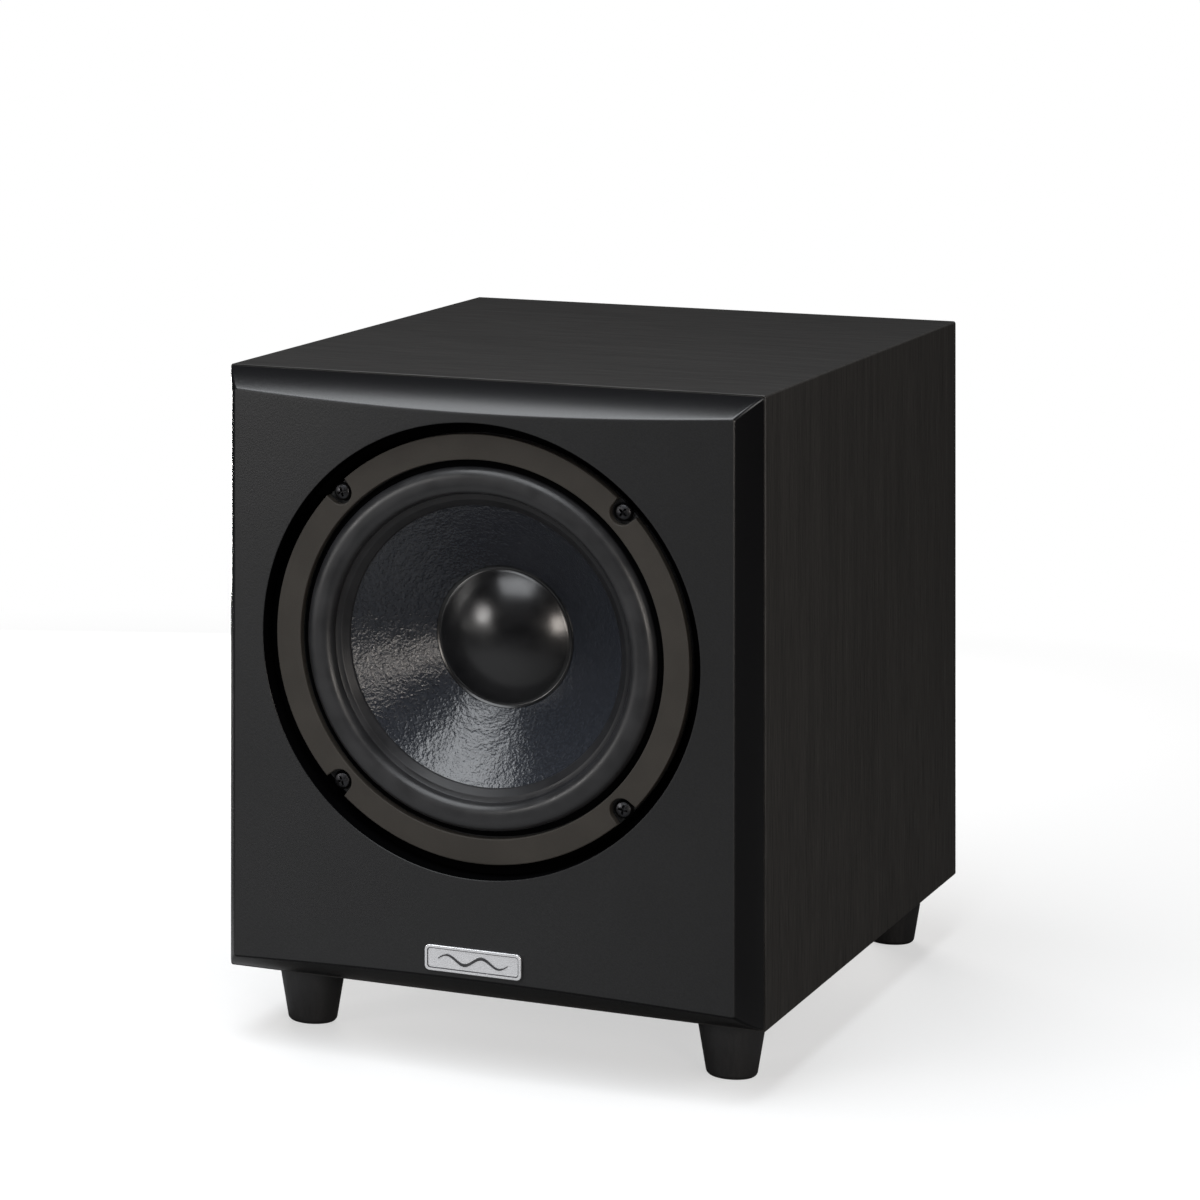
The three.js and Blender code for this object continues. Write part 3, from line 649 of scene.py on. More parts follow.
FERRITE = Finish("ferrite", (0.02, 0.02, 0.022), 0.65)
FERRITE.grain(0.8, detail=6, tones=(0.7, 1.4), depth=0.05)

# Turns of enamelled wire seen through yellow tape.
WINDING = Finish("winding", (0.62, 0.40, 0.07), 0.45)
WINDING.grain(1.4, (1, 1, 0.05), detail=2, tones=(0.6, 1.2), depth=0.2)
WINDING.grain(6, rough=(0.35, 0.55))

COPPER = Finish("copper", (0.72, 0.28, 0.12), 0.3, metallic=1.0)
COPPER.grain(0.6, (0.03, 1, 0.03), detail=1, tones=(0.55, 1.1), depth=0.08)

FORMER_FILM = Finish("former_film", (0.5, 0.27, 0.05), 0.25)
FORMER_FILM.grain(0.8, (0.1, 1, 0.1), detail=3, tones=(0.85, 1.1), rough=(0.2, 0.35))

# Powder coat with a wrinkled skin.
AMP_PAINT = Finish("amp_plate", (0.030, 0.030, 0.031), 0.5)
AMP_PAINT.grain(25, detail=3, tones=(0.9, 1.12))
AMP_PAINT.vary(AMP_PAINT.cells(0.7), rough=(0.45, 0.62), depth=0.06, low=0.1, high=0.6)
AMP_PAINT.wear(0.6, 0.35, (0.05, 0.05, 0.052))

# Black anodised extrusion with drawn lines along Z.
ANODISED = Finish("anodised", (0.055, 0.055, 0.058), 0.38, metallic=0.5)
ANODISED.grain(0.5, (1, 1, 0.02), detail=5, tones=(0.8, 1.25), rough=(0.3, 0.48), depth=0.02)
ANODISED.wear(0.5, 0.45, (0.12, 0.12, 0.125))

CAPACITOR_SLEEVE = Finish("capacitor_sleeve", (0.012, 0.02, 0.07), 0.28)
CAPACITOR_SLEEVE.grain(5, detail=3, tones=(0.85, 1.15))
CAPACITOR_SLEEVE.grain(3, rough=(0.22, 0.36))
CAPACITOR_SLEEVE.grain(3, (1, 0.2, 1), detail=2, depth=0.02)

GLOW = {"Emission_Color": (1, 0.03, 0.02, 1), "Emission_Strength": 0.25}
RED_LENS = Finish("red_lens", (0.42, 0.006, 0.006), 0.12, **GLOW)
RED_LENS.grain(1.5, tones=(0.85, 1.2))
RED_LENS.grain(1, rough=(0.08, 0.2))

CABLE_SLEEVE = Finish("cable_sleeve", (0.016, 0.015, 0.015), 0.5)
CABLE_SLEEVE.grain(4, detail=3, tones=(0.8, 1.2))
CABLE_SLEEVE.grain(1, rough=(0.42, 0.6))
CABLE_SLEEVE.grain(0.6, detail=3, depth=0.02)

# Polyester wool: long loose fibres over soft lumps.
WADDING_FILL = Finish("wadding_fill", (0.72, 0.70, 0.64), 0.95, Sheen_Weight=0.4)
WADDING_FILL.grain(0.8, (1, 0.12, 1), detail=6, distortion=2.0, tones=(0.78, 1.1), depth=0.6)
WADDING_FILL.grain(18, detail=3, tones=(0.85, 1.05))

WHITE_INK = Finish("white_ink", (0.62, 0.62, 0.6), 0.6, slot="black_plastic")
WHITE_INK.grain(0.35, tones=(0.8, 1.05), depth=0.01)


# ---- Cabinet ----


def board_outline(quarter):
    """One of the four mitred boards: 0 is the right one, 1 the top, 2 the left, 3 the bottom."""
    corner = 1.3
    points = []
    inner = []
    for turn in (-45, 45):
        towards = direction(quarter * 90 + turn)
        sign_x = copysign(1, towards.x)
        sign_z = copysign(1, towards.y)
        centre = (sign_x * (HALF - corner), MIDDLE_Z + sign_z * (HALF_HEIGHT - corner))
        start = quarter * 90 + min(turn, 0)
        points += arc(centre, corner, start, start + 45, 4)
        inner.append(Vector((sign_x * (HALF - BOARD), MIDDLE_Z + sign_z * (HALF_HEIGHT - BOARD))))
    return points + [inner[1], inner[0]]


def make_carcass():
    arris = 0.7
    for quarter, side in enumerate(["right", "top", "left", "bottom"]):
        board = plate([board_outline(quarter)], 0, DEPTH, arris)
        make(f"{side}_board", board, WRAP, f"{side}_panel")
    keep("rear_panel", WRAP)
    keep("front_baffle", BARE_BOARD)
    keep("inner_brace", BARE_BOARD)


def inset(depth):
    """How far the fascia's sides have drawn in at a depth in front of the carcass."""
    return SHADOW_GAP + BEVEL_SLOPE * depth + BEVEL_CURVE * depth**2


def face_depth(x):
    """The bowed face: an arc across the front."""
    half_chord = HALF - inset(FASCIA_EDGE_DEPTH)
    bow = FASCIA_CENTRE_DEPTH - FASCIA_EDGE_DEPTH
    radius = (half_chord**2 + bow**2) / (2 * bow)
    return FASCIA_CENTRE_DEPTH - radius + sqrt(radius**2 - x**2)


def rim_stations():
    """Places round the fascia: a share of the way to its straight sides' ends, and the way out."""
    per_side, per_corner = 72, 6
    stations = []
    for quarter in range(4):
        out = direction(90 * quarter)
        along = direction(90 * quarter + 90)
        for i in range(per_side):
            stations.append((out + along * (2 * i / per_side - 1), out))
        for i in range(per_corner):
            stations.append((out + along, direction(90 * quarter + 90 * i / per_corner)))
    return stations


def rim_point(station, depth, extra=0.0):
    share, out = station
    x = share.x * (HALF - inset(depth) - extra - FASCIA_CORNER) + out.x * FASCIA_CORNER
    z = share.y * (HALF_HEIGHT - inset(depth) - extra - FASCIA_CORNER) + out.y * FASCIA_CORNER
    return Vector((x, -depth, MIDDLE_Z + z))


def crease_point(station):
    """Where a side of the fascia meets the bowed face."""
    depth = FASCIA_EDGE_DEPTH
    for _ in range(8):
        depth = face_depth(rim_point(station, depth).x)
    return rim_point(station, depth)


def fascia_spoke(station):
    """One line of points over the fascia, from the seam round to the driver's hole."""
    groove_width, groove_depth, groove_ease = 0.8, 1.8, 0.25
    crease, lip = 0.9, 0.6
    side_steps, face_steps, curve_steps = 12, 10, 4
    corner = crease_point(station)
    points = [rim_point(station, 0, groove_depth), rim_point(station, groove_width, groove_depth)]
    points.append(rim_point(station, groove_width, groove_ease))
    start, end = groove_width + groove_ease, -corner.y - crease
    for i in range(side_steps):
        points.append(rim_point(station, start + (end - start) * i / side_steps))

    centre = Vector((0, 0, DRIVER_Z))
    spoke = Vector((corner.x, 0, corner.z)) - centre
    towards = spoke.normalized()
    square = max(towards.x * station[1].x + towards.z * station[1].y, 0.3)

    def on_face(radius, sink=0.0):
        place = centre + towards * radius
        return Vector((place.x, sink - face_depth(place.x), place.z))

    outer = spoke.length - crease / square
    inner = RECESS_RADIUS + lip
    points += bend(rim_point(station, end), corner, on_face(outer), curve_steps)
    for i in range(1, face_steps + 1):
        points.append(on_face(outer + (inner - outer) * i / face_steps))
    for i in range(1, curve_steps + 1):
        angle = pi / 2 * i / curve_steps
        points.append(on_face(inner - lip * sin(angle), lip * (1 - cos(angle))))
    for radius, y in ((RECESS_RADIUS, SEAT_Y), (HOLE_RADIUS, SEAT_Y), (HOLE_RADIUS, 0)):
        points.append(centre + towards * radius + Vector((0, y, 0)))
    return points


def make_fascia():
    spokes = [fascia_spoke(station) for station in rim_stations()]
    shape = Shape()
    rings = [shape.ring([tuple(point) for point in ring]) for ring in zip(*spokes)]
    shape.join(rings + rings[:1])
    make("fascia_moulding", shape, PAINT, "front_fascia", sharp=40)


def make_badge():
    low, high, centre = limits("badge")
    corner, border, pocket, line_width = 2.4, 1.3, 0.55, 0.45

    def within(margin):
        edge = Vector((margin, margin))
        return rounded_rectangle(low.xz + edge, high.xz - edge, corner - margin * 0.6)

    body = plate([within(0)], low.y, high.y, 0.35)
    tool = plate([within(border)], low.y - 1, low.y + pocket, 0)
    make("badge_plate", carved(body, tool), BADGE_SILVER, "badge", sharp=30)
    line = [within(border), hole(within(border + line_width))]
    make("badge_line", plate(line, low.y + pocket - 0.08, low.y + pocket + 0.1, 0), ENAMEL)

    # A plain wave in relief, as a neutral mark.
    half_length, swing, thickness, waves, steps = 18, 2.1, 1.6, 2, 96
    upper, lower = [], []
    for i in range(steps + 1):
        share = i / steps
        x = centre.x - half_length + 2 * half_length * share
        z = centre.z + swing * sin(2 * pi * waves * share)
        half = thickness / 2 * (0.35 + 0.65 * sin(pi * share))
        upper.append(Vector((x, z + half)))
        lower.append(Vector((x, z - half)))
    wave = plate([lower + upper[::-1]], low.y + 0.1, low.y + pocket + 0.05, 0.12, steps=2)
    make("badge_wave", wave, ENAMEL)


def make_feet():
    """Tapered feet, each with a screw sunk in from below."""
    base_radius, base_ease, bore, counterbore = 12.6, 1.4, 2.8, 5.4
    head_radius, head_height, shank_radius = 4.6, 3, 2.2
    low, high, centre = limits("foot_screw_rear_left")
    seat = low.z + head_height
    screw = screw_shape(head_radius, head_height, shank_radius, high.z - seat).moved(y=seat)
    for corner in ("rear_left", "rear_right", "front_right", "front_left"):
        low, high, centre = limits(f"foot_{corner}")
        top_radius = (high.x - low.x) / 2
        outside = [(base_radius - base_ease, 0), (base_radius, base_ease), (top_radius, high.z)]
        inside = [(bore, high.z), (bore, seat), (counterbore, seat), (counterbore, 0)]
        foot = turned(eased(outside + inside, 0.8)).upright(centre.x, centre.y)
        make(f"foot_{corner}_cone", foot, FOOT_PLASTIC, f"foot_{corner}")
        bolt = screw.upright(centre.x, centre.y)
        make(f"foot_{corner}_bolt", bolt, STEEL, f"foot_screw_{corner}")


# ---- Fasteners ----


def screw_shape(head_radius, head_height, shank_radius, length):
    """A pan head screw with a cross recess. Its head points to -Y and seats at y = 0."""
    head = ((0, 1), (0.45, 0.97), (0.78, 0.8), (0.95, 0.5), (1, 0.2), (1, 0))
    profile = [(head_radius * across, -head_height * up) for across, up in head]
    profile += [(shank_radius, 0), (shank_radius, length - shank_radius), (0, length)]
    arm, width = head_radius * 0.56, head_radius * 0.13
    front, bottom = -head_height - 1, -head_height * 0.42
    tools = []
    for long_side, short_side in ((arm, width), (width, arm)):
        points = [
            (sx * long_side * scale, y, sz * short_side * scale)
            for y, scale in ((front, 1.12), (bottom, 0.6))
            for sx, sz in ((-1, -1), (1, -1), (1, 1), (-1, 1))
        ]
        faces = [(0, 1, 2, 3), (7, 6, 5, 4), (0, 4, 5, 1), (1, 5, 6, 2), (2, 6, 7, 3), (3, 7, 4, 0)]
        tools.append(Shape(points, faces))
    return carved(turned(eased(profile, 0.25, steps=2), 40), *tools)


def turned_round(shape, turn):
    """The shape turned about the Y axis."""
    c, s = direction(turn)
    return shape.mapped(lambda x, y, z: (c * x - s * z, y, s * x + c * z))


def make_screws():
    driver_screw = screw_shape(4.7, 3.2, 2.2, limits("driver_screw_upper_left")[1].y - FLANGE_FRONT)
    for i, corner in enumerate(("upper_left", "upper_right", "lower_right", "lower_left")):
        name = f"driver_screw_{corner}"
        place = middle(name)
        shape = turned_round(driver_screw, 17 + 31 * i).moved(place.x, FLANGE_FRONT, place.z)
        make(f"{name}_pan", shape, BLACK_STEEL, name, sharp=30)
    amp_screw = screw_shape(3.9, 2.4, 1.7, PLATE_BACK - limits("amp_screw_1")[0].y)
    for i in range(1, 7):
        name = f"amp_screw_{i}"
        place = middle(name)
        flipped = turned_round(amp_screw, 23 * i).mapped(lambda x, y, z: (x, PLATE_BACK - y, z))
        make(f"{name}_pan", flipped.moved(place.x, 0, place.z), BLACK_STEEL, name, sharp=30)


# ---- Driver ----


def ring_outline():
    """The trim ring's rim, anticlockwise, with a U-shaped notch at each screw."""
    notch, flare = 6, 1 / 6
    reach = sqrt(RING_OUTER**2 - notch**2) - SCREW_CIRCLE
    for _ in range(4):
        reach = sqrt(RING_OUTER**2 - (notch + flare * reach) ** 2) - SCREW_CIRCLE
    mouth = degrees(atan2(notch + flare * reach, SCREW_CIRCLE + reach))
    points = []
    for corner in range(4):
        middle_angle = 45 + 90 * corner
        out = direction(middle_angle)
        across = direction(middle_angle + 90)
        points += arc((0, 0), RING_OUTER, middle_angle - 90 + mouth, middle_angle - mouth, 44)
        for local in arc((0, SCREW_CIRCLE), notch, 180, 360, 16):
            points.append(across * local.x + out * local.y)
    return points


def at_driver(shape):
    return shape.moved(z=DRIVER_Z)


def sleeve(inner, outer, front, back):
    """The profile of a tube, or of a rod when inner is 0."""
    return [(inner, front), (outer, front), (outer, back), (inner, back)]


def make_frame():
    profile = [
        (30, 60), (52, 60), (64, 44), (72, 44), (72, 36), (88, 3), (88, FLANGE_FRONT),
        (RING_OUTER, FLANGE_FRONT), (RING_OUTER, FLANGE_BACK), (91, FLANGE_BACK),
        (91, 4), (75, 37), (75, 47), (66, 47), (55, 63), (30, 63),
    ]
    windows = []
    for i in range(6):
        angle, reach = 60 * i + 30, 20.6
        outline = arc((0, 0), 60, angle + reach, angle - reach, 6)
        outline += arc((0, 0), 100, angle - reach, angle + reach, 6)
        windows.append(plate([outline], 8, 33, 0))
    basket = at_driver(carved(turned(eased(profile, 0.5, steps=2), 120), *windows))
    make("driver_basket_casting", basket, CAST, "driver_basket", sharp=30)

    ring = plate([ring_outline(), hole(circle(RING_INNER, 200))], RING_FRONT, FLANGE_FRONT, 0.6)
    make("trim_ring_moulding", at_driver(ring), RING_PLASTIC, "trim_ring")
    gasket = [circle(RING_OUTER, 160), hole(circle(97, 160))]
    make("driver_gasket_foam", at_driver(plate(gasket, FLANGE_BACK, SEAT_Y, 0.3)), FOAM, "driver_gasket")


def make_motor():
    yoke = [(0, 63), (22, 63), (24.2, 65), (24.2, 89), (55, 89), (58, 91), (58, 96), (0, 96)]
    for name, profile, look in (
        ("motor_top_plate", sleeve(27.4, 55, 63, 71), BLACK_STEEL),
        ("magnet", sleeve(33, 61, 71, 89), FERRITE),
        ("motor_yoke", yoke, BLACK_STEEL),
    ):
        make(f"{name}_body", at_driver(turned(eased(profile, 0.9))), look, name)
    keep("driver_terminals", BLACK_PLASTIC, 0.2)


def on_cone(radius, lift=0.0):
    """A profile point at some height in front of the cone's face."""
    return (radius, CAP_RIM_Y + (CAP_RADIUS - radius) * CONE_SLOPE - lift)


def make_cone():
    """The cone is slightly uneven, as a pressed sheet is."""
    steps, unevenness, patch = 32, 0.12, 7
    radii = [CONE_NECK + (CONE_EDGE - CONE_NECK) * i / steps for i in range(steps + 1)]
    profile = [on_cone(radius) for radius in radii]
    profile += [on_cone(radius, -CONE_WALL) for radius in reversed(radii)]

    def uneven(x, y, z):
        return (x, y + unevenness * noise.noise(Vector((x, y, z)) / patch), z)

    shape = at_driver(turned(profile, 240).mapped(uneven))
    make("cone_sheet_body", shape, CONE_SHEET, "cone", "cone_assembly", 50)


def make_dust_cap():
    """A shallow dome with a thin glued foot that follows the cone."""
    wall, gap, steps = 0.8, 0.6, 24
    sphere = (CAP_RADIUS**2 + CAP_RISE**2) / (2 * CAP_RISE)
    centre_y = CAP_RIM_Y - CAP_RISE + sphere - gap
    reach = degrees(asin(CAP_RADIUS / sphere))

    def dome(size, last):
        angles = [radians(last * i / steps) for i in range(steps + 1)]
        return [(size * sin(a), centre_y - size * cos(a)) for a in angles]

    rises = ((0.3, 0.75), (1.3, 0.6), (1.55, 0.15), (-0.2, 0.15))
    foot = [on_cone(CAP_RADIUS + out, lift) for out, lift in rises]
    profile = dome(sphere, reach - 0.6) + foot + dome(sphere - wall, reach - 1.2)[::-1]
    shape = at_driver(turned(profile, 160))
    make("dust_cap_dome", shape, CAP_GLOSS, "dust_cap", "cone_assembly", 60)


def flexing(name, shape, look, node):
    """A ring made as a loose piece that rides on no body, with its placement baked into its points."""
    obj = unattached(name, shape, look, node, sharp=50)
    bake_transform(obj)


def make_surround():
    """A rubber half roll, with a flat outer foot and an inner lip glued over the cone's edge.

    The roll is squarer than a half circle, so its power is below one.
    """
    roll_centre, roll_radius, wall, lip = 84, 7, 1.0, 70.9
    flatten, power, steps = 0.95, 0.72, 36
    base = FLANGE_FRONT - 0.1
    top = base - wall

    def roll(size, y, start, end):
        points = []
        for i in range(steps + 1):
            angle = radians(start + (end - start) * i / steps)
            out = copysign(abs(cos(angle)) ** power, cos(angle))
            up = sin(angle) ** power
            points.append((roll_centre + size * out, y - size * flatten * up))
        return points

    over_cone = [(75.4, top), (CONE_EDGE, top + 0.35)]
    for radius, lift in ((lip + 0.4, 1.0), (lip - 0.2, 0.8), (lip - 0.4, 0.12), (CONE_EDGE, 0.12)):
        over_cone.append(on_cone(radius, lift))
    over_cone.append((75.2, base))
    front = [(93.8, base), (93.8, top)] + roll(roll_radius, top, 3, 177)
    back = roll(roll_radius - wall, base, 177, 3)
    shape = at_driver(turned(eased(front + over_cone + back, 0.5, steps=3), 200))
    flexing("surround_roll", shape, RUBBER, "surround")


def make_spider():
    waves, swing, half, steps = 6, 1.2, 0.3, 96
    inner, outer = 25.7, 71.4
    level = middle("spider").y

    def edge(offset):
        points = []
        for i in range(steps + 1):
            share = i / steps
            swell = swing * sin(2 * pi * waves * share) * min(1, 6 * share, 6 * (1 - share))
            points.append((inner + (outer - inner) * share, level + swell + offset))
        return points

    shape = at_driver(turned(edge(-half) + edge(half)[::-1], 120))
    flexing("spider_disc", shape, SPIDER_CLOTH, "spider")


def make_coil():
    for name, profile, look in (
        ("coil_former", sleeve(24.8, 25.4, 30, 80), FORMER_FILM),
        ("voice_coil", sleeve(25.45, 26.6, 57, 77), COPPER),
    ):
        shape = at_driver(turned(eased(profile, 0.15, steps=2)))
        make(f"{name}_tube", shape, look, name, "cone_assembly")


# ---- Plate amplifier ----


def amp_openings():
    """Holes through the plate, each run clockwise."""
    round_holes = {"volume_pot": (4.8, 32), "crossover_pot": (4.8, 32), "power_light": (2.9, 32)}
    round_holes.update({f"amp_screw_{i}": (2.2, 24) for i in range(1, 7)})
    square_holes = {
        "phase_switch_body": (6.5, 4),
        "power_switch_body": (10.5, 14.5),
        "mains_inlet": (14.5, 11),
        "input_sockets": (5, 18),
    }
    openings = [circle(*size, middle(name).xz) for name, size in round_holes.items()]
    openings += [box_outline(middle(name), *size, 0.6, 2) for name, size in square_holes.items()]
    return [hole(outline) for outline in openings]


def make_amp_plate():
    low, high, place = limits("amp_gasket")
    outline = rounded_rectangle(low.xz, high.xz, 3)
    sheet = plate([outline] + amp_openings(), PLATE_FRONT, PLATE_BACK, 0.5)
    make("amp_plate_sheet", sheet, AMP_PAINT, "amp_plate")
    post = eased(sleeve(0, 4, limits("circuit_board")[1].y, PLATE_FRONT), 0.4)
    posts = Shape()
    for x, rise in ((-78, 90), (78, 90), (78, -44), (-78, -44)):
        posts = posts + turned(post, 32, (x, place.z + rise))
    make("board_posts", posts, STEEL)
    keep("amp_gasket", FOAM, 0.2)
    keep("heat_sink", ANODISED, 0.35)


def knob_shape():
    """A skirted knob with a fluted grip, seated at y = 0 and facing +Y."""
    flutes, flute_depth, grip_start, grip_end = 24, 0.32, 4.2, 16
    profile = [(0, 0), (9.5, 0), (9.5, 2.4), (8.9, 3.2), (7.8, 4.2)]
    profile += [(7.8 - 0.05 * i, 4.6 + i) for i in range(11)]
    profile += [(6.9, 15.6), (6.2, 16.1), (0, 16.2)]

    def fluted(radius, y, angle):
        grip = max(0.0, min(1.0, (y - grip_start) * 2)) * max(0.0, min(1.0, (grip_end - y) * 2))
        return radius - flute_depth * grip * (0.5 + 0.5 * cos(flutes * angle)) ** 2

    return turned(eased(profile, 0.5, steps=3), flutes * 8, radius_at=fluted)


def make_controls():
    pot = [(3.1, PLATE_BACK + 0.4), (4.1, PLATE_BACK + 0.4), (4.1, PLATE_FRONT - 0.3)]
    pot += [(8.5, PLATE_FRONT - 0.3), (8.5, PLATE_FRONT - 11), (3.1, PLATE_FRONT - 11)]
    seat = PLATE_BACK + 0.8
    shaft = eased(sleeve(0, 2.9, limits("volume_knob")[0].y, seat), 0.3)
    knob = knob_shape()
    for control in ("volume", "crossover"):
        body = f"{control}_control"
        place = middle(f"{control}_pot")
        grip = knob.moved(place.x, seat, place.z)
        make(f"{control}_grip", grip, BLACK_PLASTIC, f"{control}_knob", body)
        make(f"{control}_shaft", turned(shaft, 40, place.xz), STEEL, body=body)
        can = turned(eased(pot, 0.4), 64, place.xz)
        make(f"{control}_pot_can", can, STEEL, f"{control}_pot")
        start, end = (place.x, place.z + 1.2), (place.x, place.z + 6.4)
        pointer = bar(start, end, 1.1, seat + 15.9, seat + 16.5, 0.15)
        make(f"{control}_pointer", pointer, WHITE_INK, body=body)

    keep("phase_switch_body", BLACK_PLASTIC, 0.3)
    keep("phase_slider", WHITE_PLASTIC, 0.25)
    keep("power_switch_body", BLACK_PLASTIC, 0.5)
    keep("power_rocker", BLACK_PLASTIC, 0.5)


def make_panel_marks():
    """Printed scales round the knobs and short lines beside the phase switch."""
    ink, front, width = 0.08, PLATE_BACK - 0.02, 0.6
    lines = []
    for control in ("volume", "crossover"):
        centre = middle(f"{control}_pot").xz
        for step in range(11):
            out = direction(90 + 150 - 30 * step)
            length = 3.4 if step in (0, 5, 10) else 2.0
            lines.append((centre + out * 12, centre + out * (12 + length)))
    phase = middle("phase_switch_body")
    for side in (-1, 1):
        x = phase.x + side * 4
        lines.append(((x, phase.z + 7), (x, phase.z + 9.5)))
    marks = Shape()
    for start, end in lines:
        marks = marks + bar(start, end, width, front, front + ink)
    make("panel_marks", marks, WHITE_INK)


def make_inlet():
    """A mains inlet: a flange, a deep well and three flat blades."""
    low, high, place = limits("mains_inlet")
    well_corners = ((-12, -8.2), (12, -8.2), (12, 5.2), (9, 8.2), (-9, 8.2), (-12, 5.2))
    well = hole([place.xz + Vector(corner) for corner in well_corners])
    can = box_outline(place, 14, 10.5, 1)
    shell = plate([rounded_rectangle(low.xz, high.xz, 3), well], PLATE_BACK, high.y, 0.4)
    shell = shell + plate([can, well], low.y + 3, PLATE_BACK, 0)
    shell = shell + plate([can], low.y, low.y + 3, 0.4)
    make("mains_inlet_shell", shell, BLACK_PLASTIC, "mains_inlet")
    blades = Shape()
    for x, z in ((-7, -1), (0, 2.5), (7, -1)):
        outline = box_outline(place + Vector((x, 0, z)), 1, 2, 0.3, 2)
        blades = blades + plate([outline], low.y + 2, PLATE_BACK - 1, 0.3)
    make("mains_blades", blades, STEEL)


def make_sockets():
    """Two phono sockets on a common base, with a coloured ring each."""
    low, high, place = limits("input_sockets")
    back = PLATE_BACK + 2
    base = plate([rounded_rectangle(low.xz, high.xz, 2)], PLATE_BACK, back, 0.4)
    base = base + plate([box_outline(place, 4.6, 17, 1, 2)], low.y, PLATE_BACK, 0.4)
    make("socket_base", base, BLACK_PLASTIC, "input_sockets")
    barrel = [(3.1, back), (4.2, back), (4.2, high.y), (3.3, high.y), (3.1, high.y - 0.3)]
    ring = sleeve(1.7, 3.1, back, high.y - 0.6)
    collar = [(4.3, back), (6.2, back), (6.0, back + 0.9), (4.3, back + 1.0)]
    for side, rise, colour in (("left", 11, WHITE_PLASTIC), ("right", -11, RED_PLASTIC)):
        for part, profile, ease, look in (
            ("barrel", barrel, 0.2, STEEL),
            ("ring", ring, 0.2, colour),
            ("collar", collar, 0.25, colour),
        ):
            shape = turned(eased(profile, ease, 2), 64, (place.x, place.z + rise))
            make(f"{side}_socket_{part}", shape, look)


def make_light():
    low, high, place = limits("power_light")
    radius, start, steps = 2.6, PLATE_BACK + 0.3, 10
    profile = [(0, low.y), (radius, low.y)]
    for i in range(steps):
        angle = pi / 2 * i / steps
        profile.append((radius * cos(angle), start + (high.y - start) * sin(angle)))
    profile.append((0, high.y))
    make("power_light_lens", turned(profile, 48, place.xz), RED_LENS, "power_light")


# ---- Inside the box ----


def smooth_path(points, steps):
    """A curve through the points."""
    path = []
    last = len(points) - 1
    for i in range(last):
        before, start = points[max(i - 1, 0)], points[i]
        end, after = points[i + 1], points[min(i + 2, last)]
        linear = end - before
        square = 2 * before - 5 * start + 4 * end - after
        cube = 3 * start - before - 3 * end + after
        for k in range(steps):
            t = k / steps
            path.append(0.5 * (2 * start + linear * t + square * t**2 + cube * t**3))
    return path + points[-1:]


def twisted_lead(path, phase):
    """One conductor of a twisted pair that follows a path."""
    radius, spacing, turns, sides = 1.2, 1.25, 9, 12
    shape = Shape()
    rings = []
    last = len(path) - 1
    for i, point in enumerate(path):
        ahead = (path[min(i + 1, last)] - path[max(i - 1, 0)]).normalized()
        side = ahead.cross(Vector((0, 0, 1))).normalized()
        up = side.cross(ahead)
        spin = direction(360 * turns * i / last + phase)
        centre = point + (side * spin.x + up * spin.y) * spacing
        points = []
        for k in range(sides):
            c, s = direction(360 * k / sides)
            points.append(tuple(centre + (side * c + up * s) * radius))
        rings.append(shape.ring(points))
    shape.join(rings)
    shape.faces += [rings[0][::-1], rings[-1]]
    return shape


def make_cable():
    board_front = limits("circuit_board")[0].y
    corners = [(87, 42, DRIVER_Z - 7), (92, 90, DRIVER_Z - 20), (78, 210, BOTTOM + 92)]
    corners += [(60, 300, BOTTOM + 110), (50, board_front - 3, BOTTOM + 136)]
    path = smooth_path([Vector(corner) for corner in corners], 36)
    cable = twisted_lead(path, 0) + twisted_lead(path, 180)
    make("speaker_lead", cable, CABLE_SLEEVE, "speaker_cable", sharp=60)


def make_electronics():
    keep("circuit_board", CIRCUIT, 0.2)
    for name in ("reservoir_capacitor_1", "reservoir_capacitor_2"):
        low, high, place = limits(name)
        rolled = ((0, 0.5), (9.5, 0.5), (10.5, 0), (12.5, 0.6), (12.5, 3), (12.1, 3.8), (12.5, 4.6))
        can = [(radius, low.y + rise) for radius, rise in rolled] + [(12.5, high.y), (0, high.y)]
        shape = turned(eased(can, 0.5), 64, place.xz)
        make(f"{name}_can", shape, CAPACITOR_SLEEVE, name)
    low, high, place = limits("mains_transformer")
    outer, hole_radius, chamfer = (high.x - low.x) / 2, 12, 3
    ring = [(hole_radius, low.z), (outer - chamfer, low.z), (outer, low.z + chamfer)]
    ring += [(outer, high.z - chamfer), (outer - chamfer, high.z), (hole_radius, high.z)]

    def wound(radius, y, angle):
        return radius + 0.25 * cos(60 * angle)

    shape = turned(eased(ring, 4, steps=6), 480, radius_at=wound).upright(place.x, place.y)
    make("transformer_coil", shape, WINDING, "mains_transformer", sharp=60)


def make_wadding():
    """A soft lumpy pad in the space of its CAD block."""
    roundness, sink, lump_depth, lump_size = 0.16, 1.6, 1.5, 26
    low, high, centre = limits("acoustic_wadding")
    half = (high - low) / 2
    edit = bmesh.new()
    bmesh.ops.create_cube(edit, size=2)
    bmesh.ops.subdivide_edges(edit, edges=edit.edges[:], cuts=47, use_grid_fill=True)
    points = []
    for vertex in edit.verts:
        cube = vertex.co
        place = centre + cube * (1 - roundness * (cube.length - 1)) * half
        lump = noise.fractal(place / lump_size, 0.6, 2.1, 5)
        points.append(tuple(place - cube.normalized() * (sink + lump_depth * lump)))
    faces = [[vertex.index for vertex in face.verts] for face in edit.faces]
    edit.free()
    make("wadding_pad", Shape(points, faces), WADDING_FILL, "acoustic_wadding", sharp=80)


make_carcass()
make_fascia()
make_badge()
make_feet()
make_screws()
make_frame()
make_motor()
make_cone()
make_dust_cap()
make_surround()
make_spider()
make_coil()
make_amp_plate()
make_controls()
make_panel_marks()
make_inlet()
make_sockets()
make_light()
make_cable()
make_electronics()
make_wadding()


# ---- Studio ----


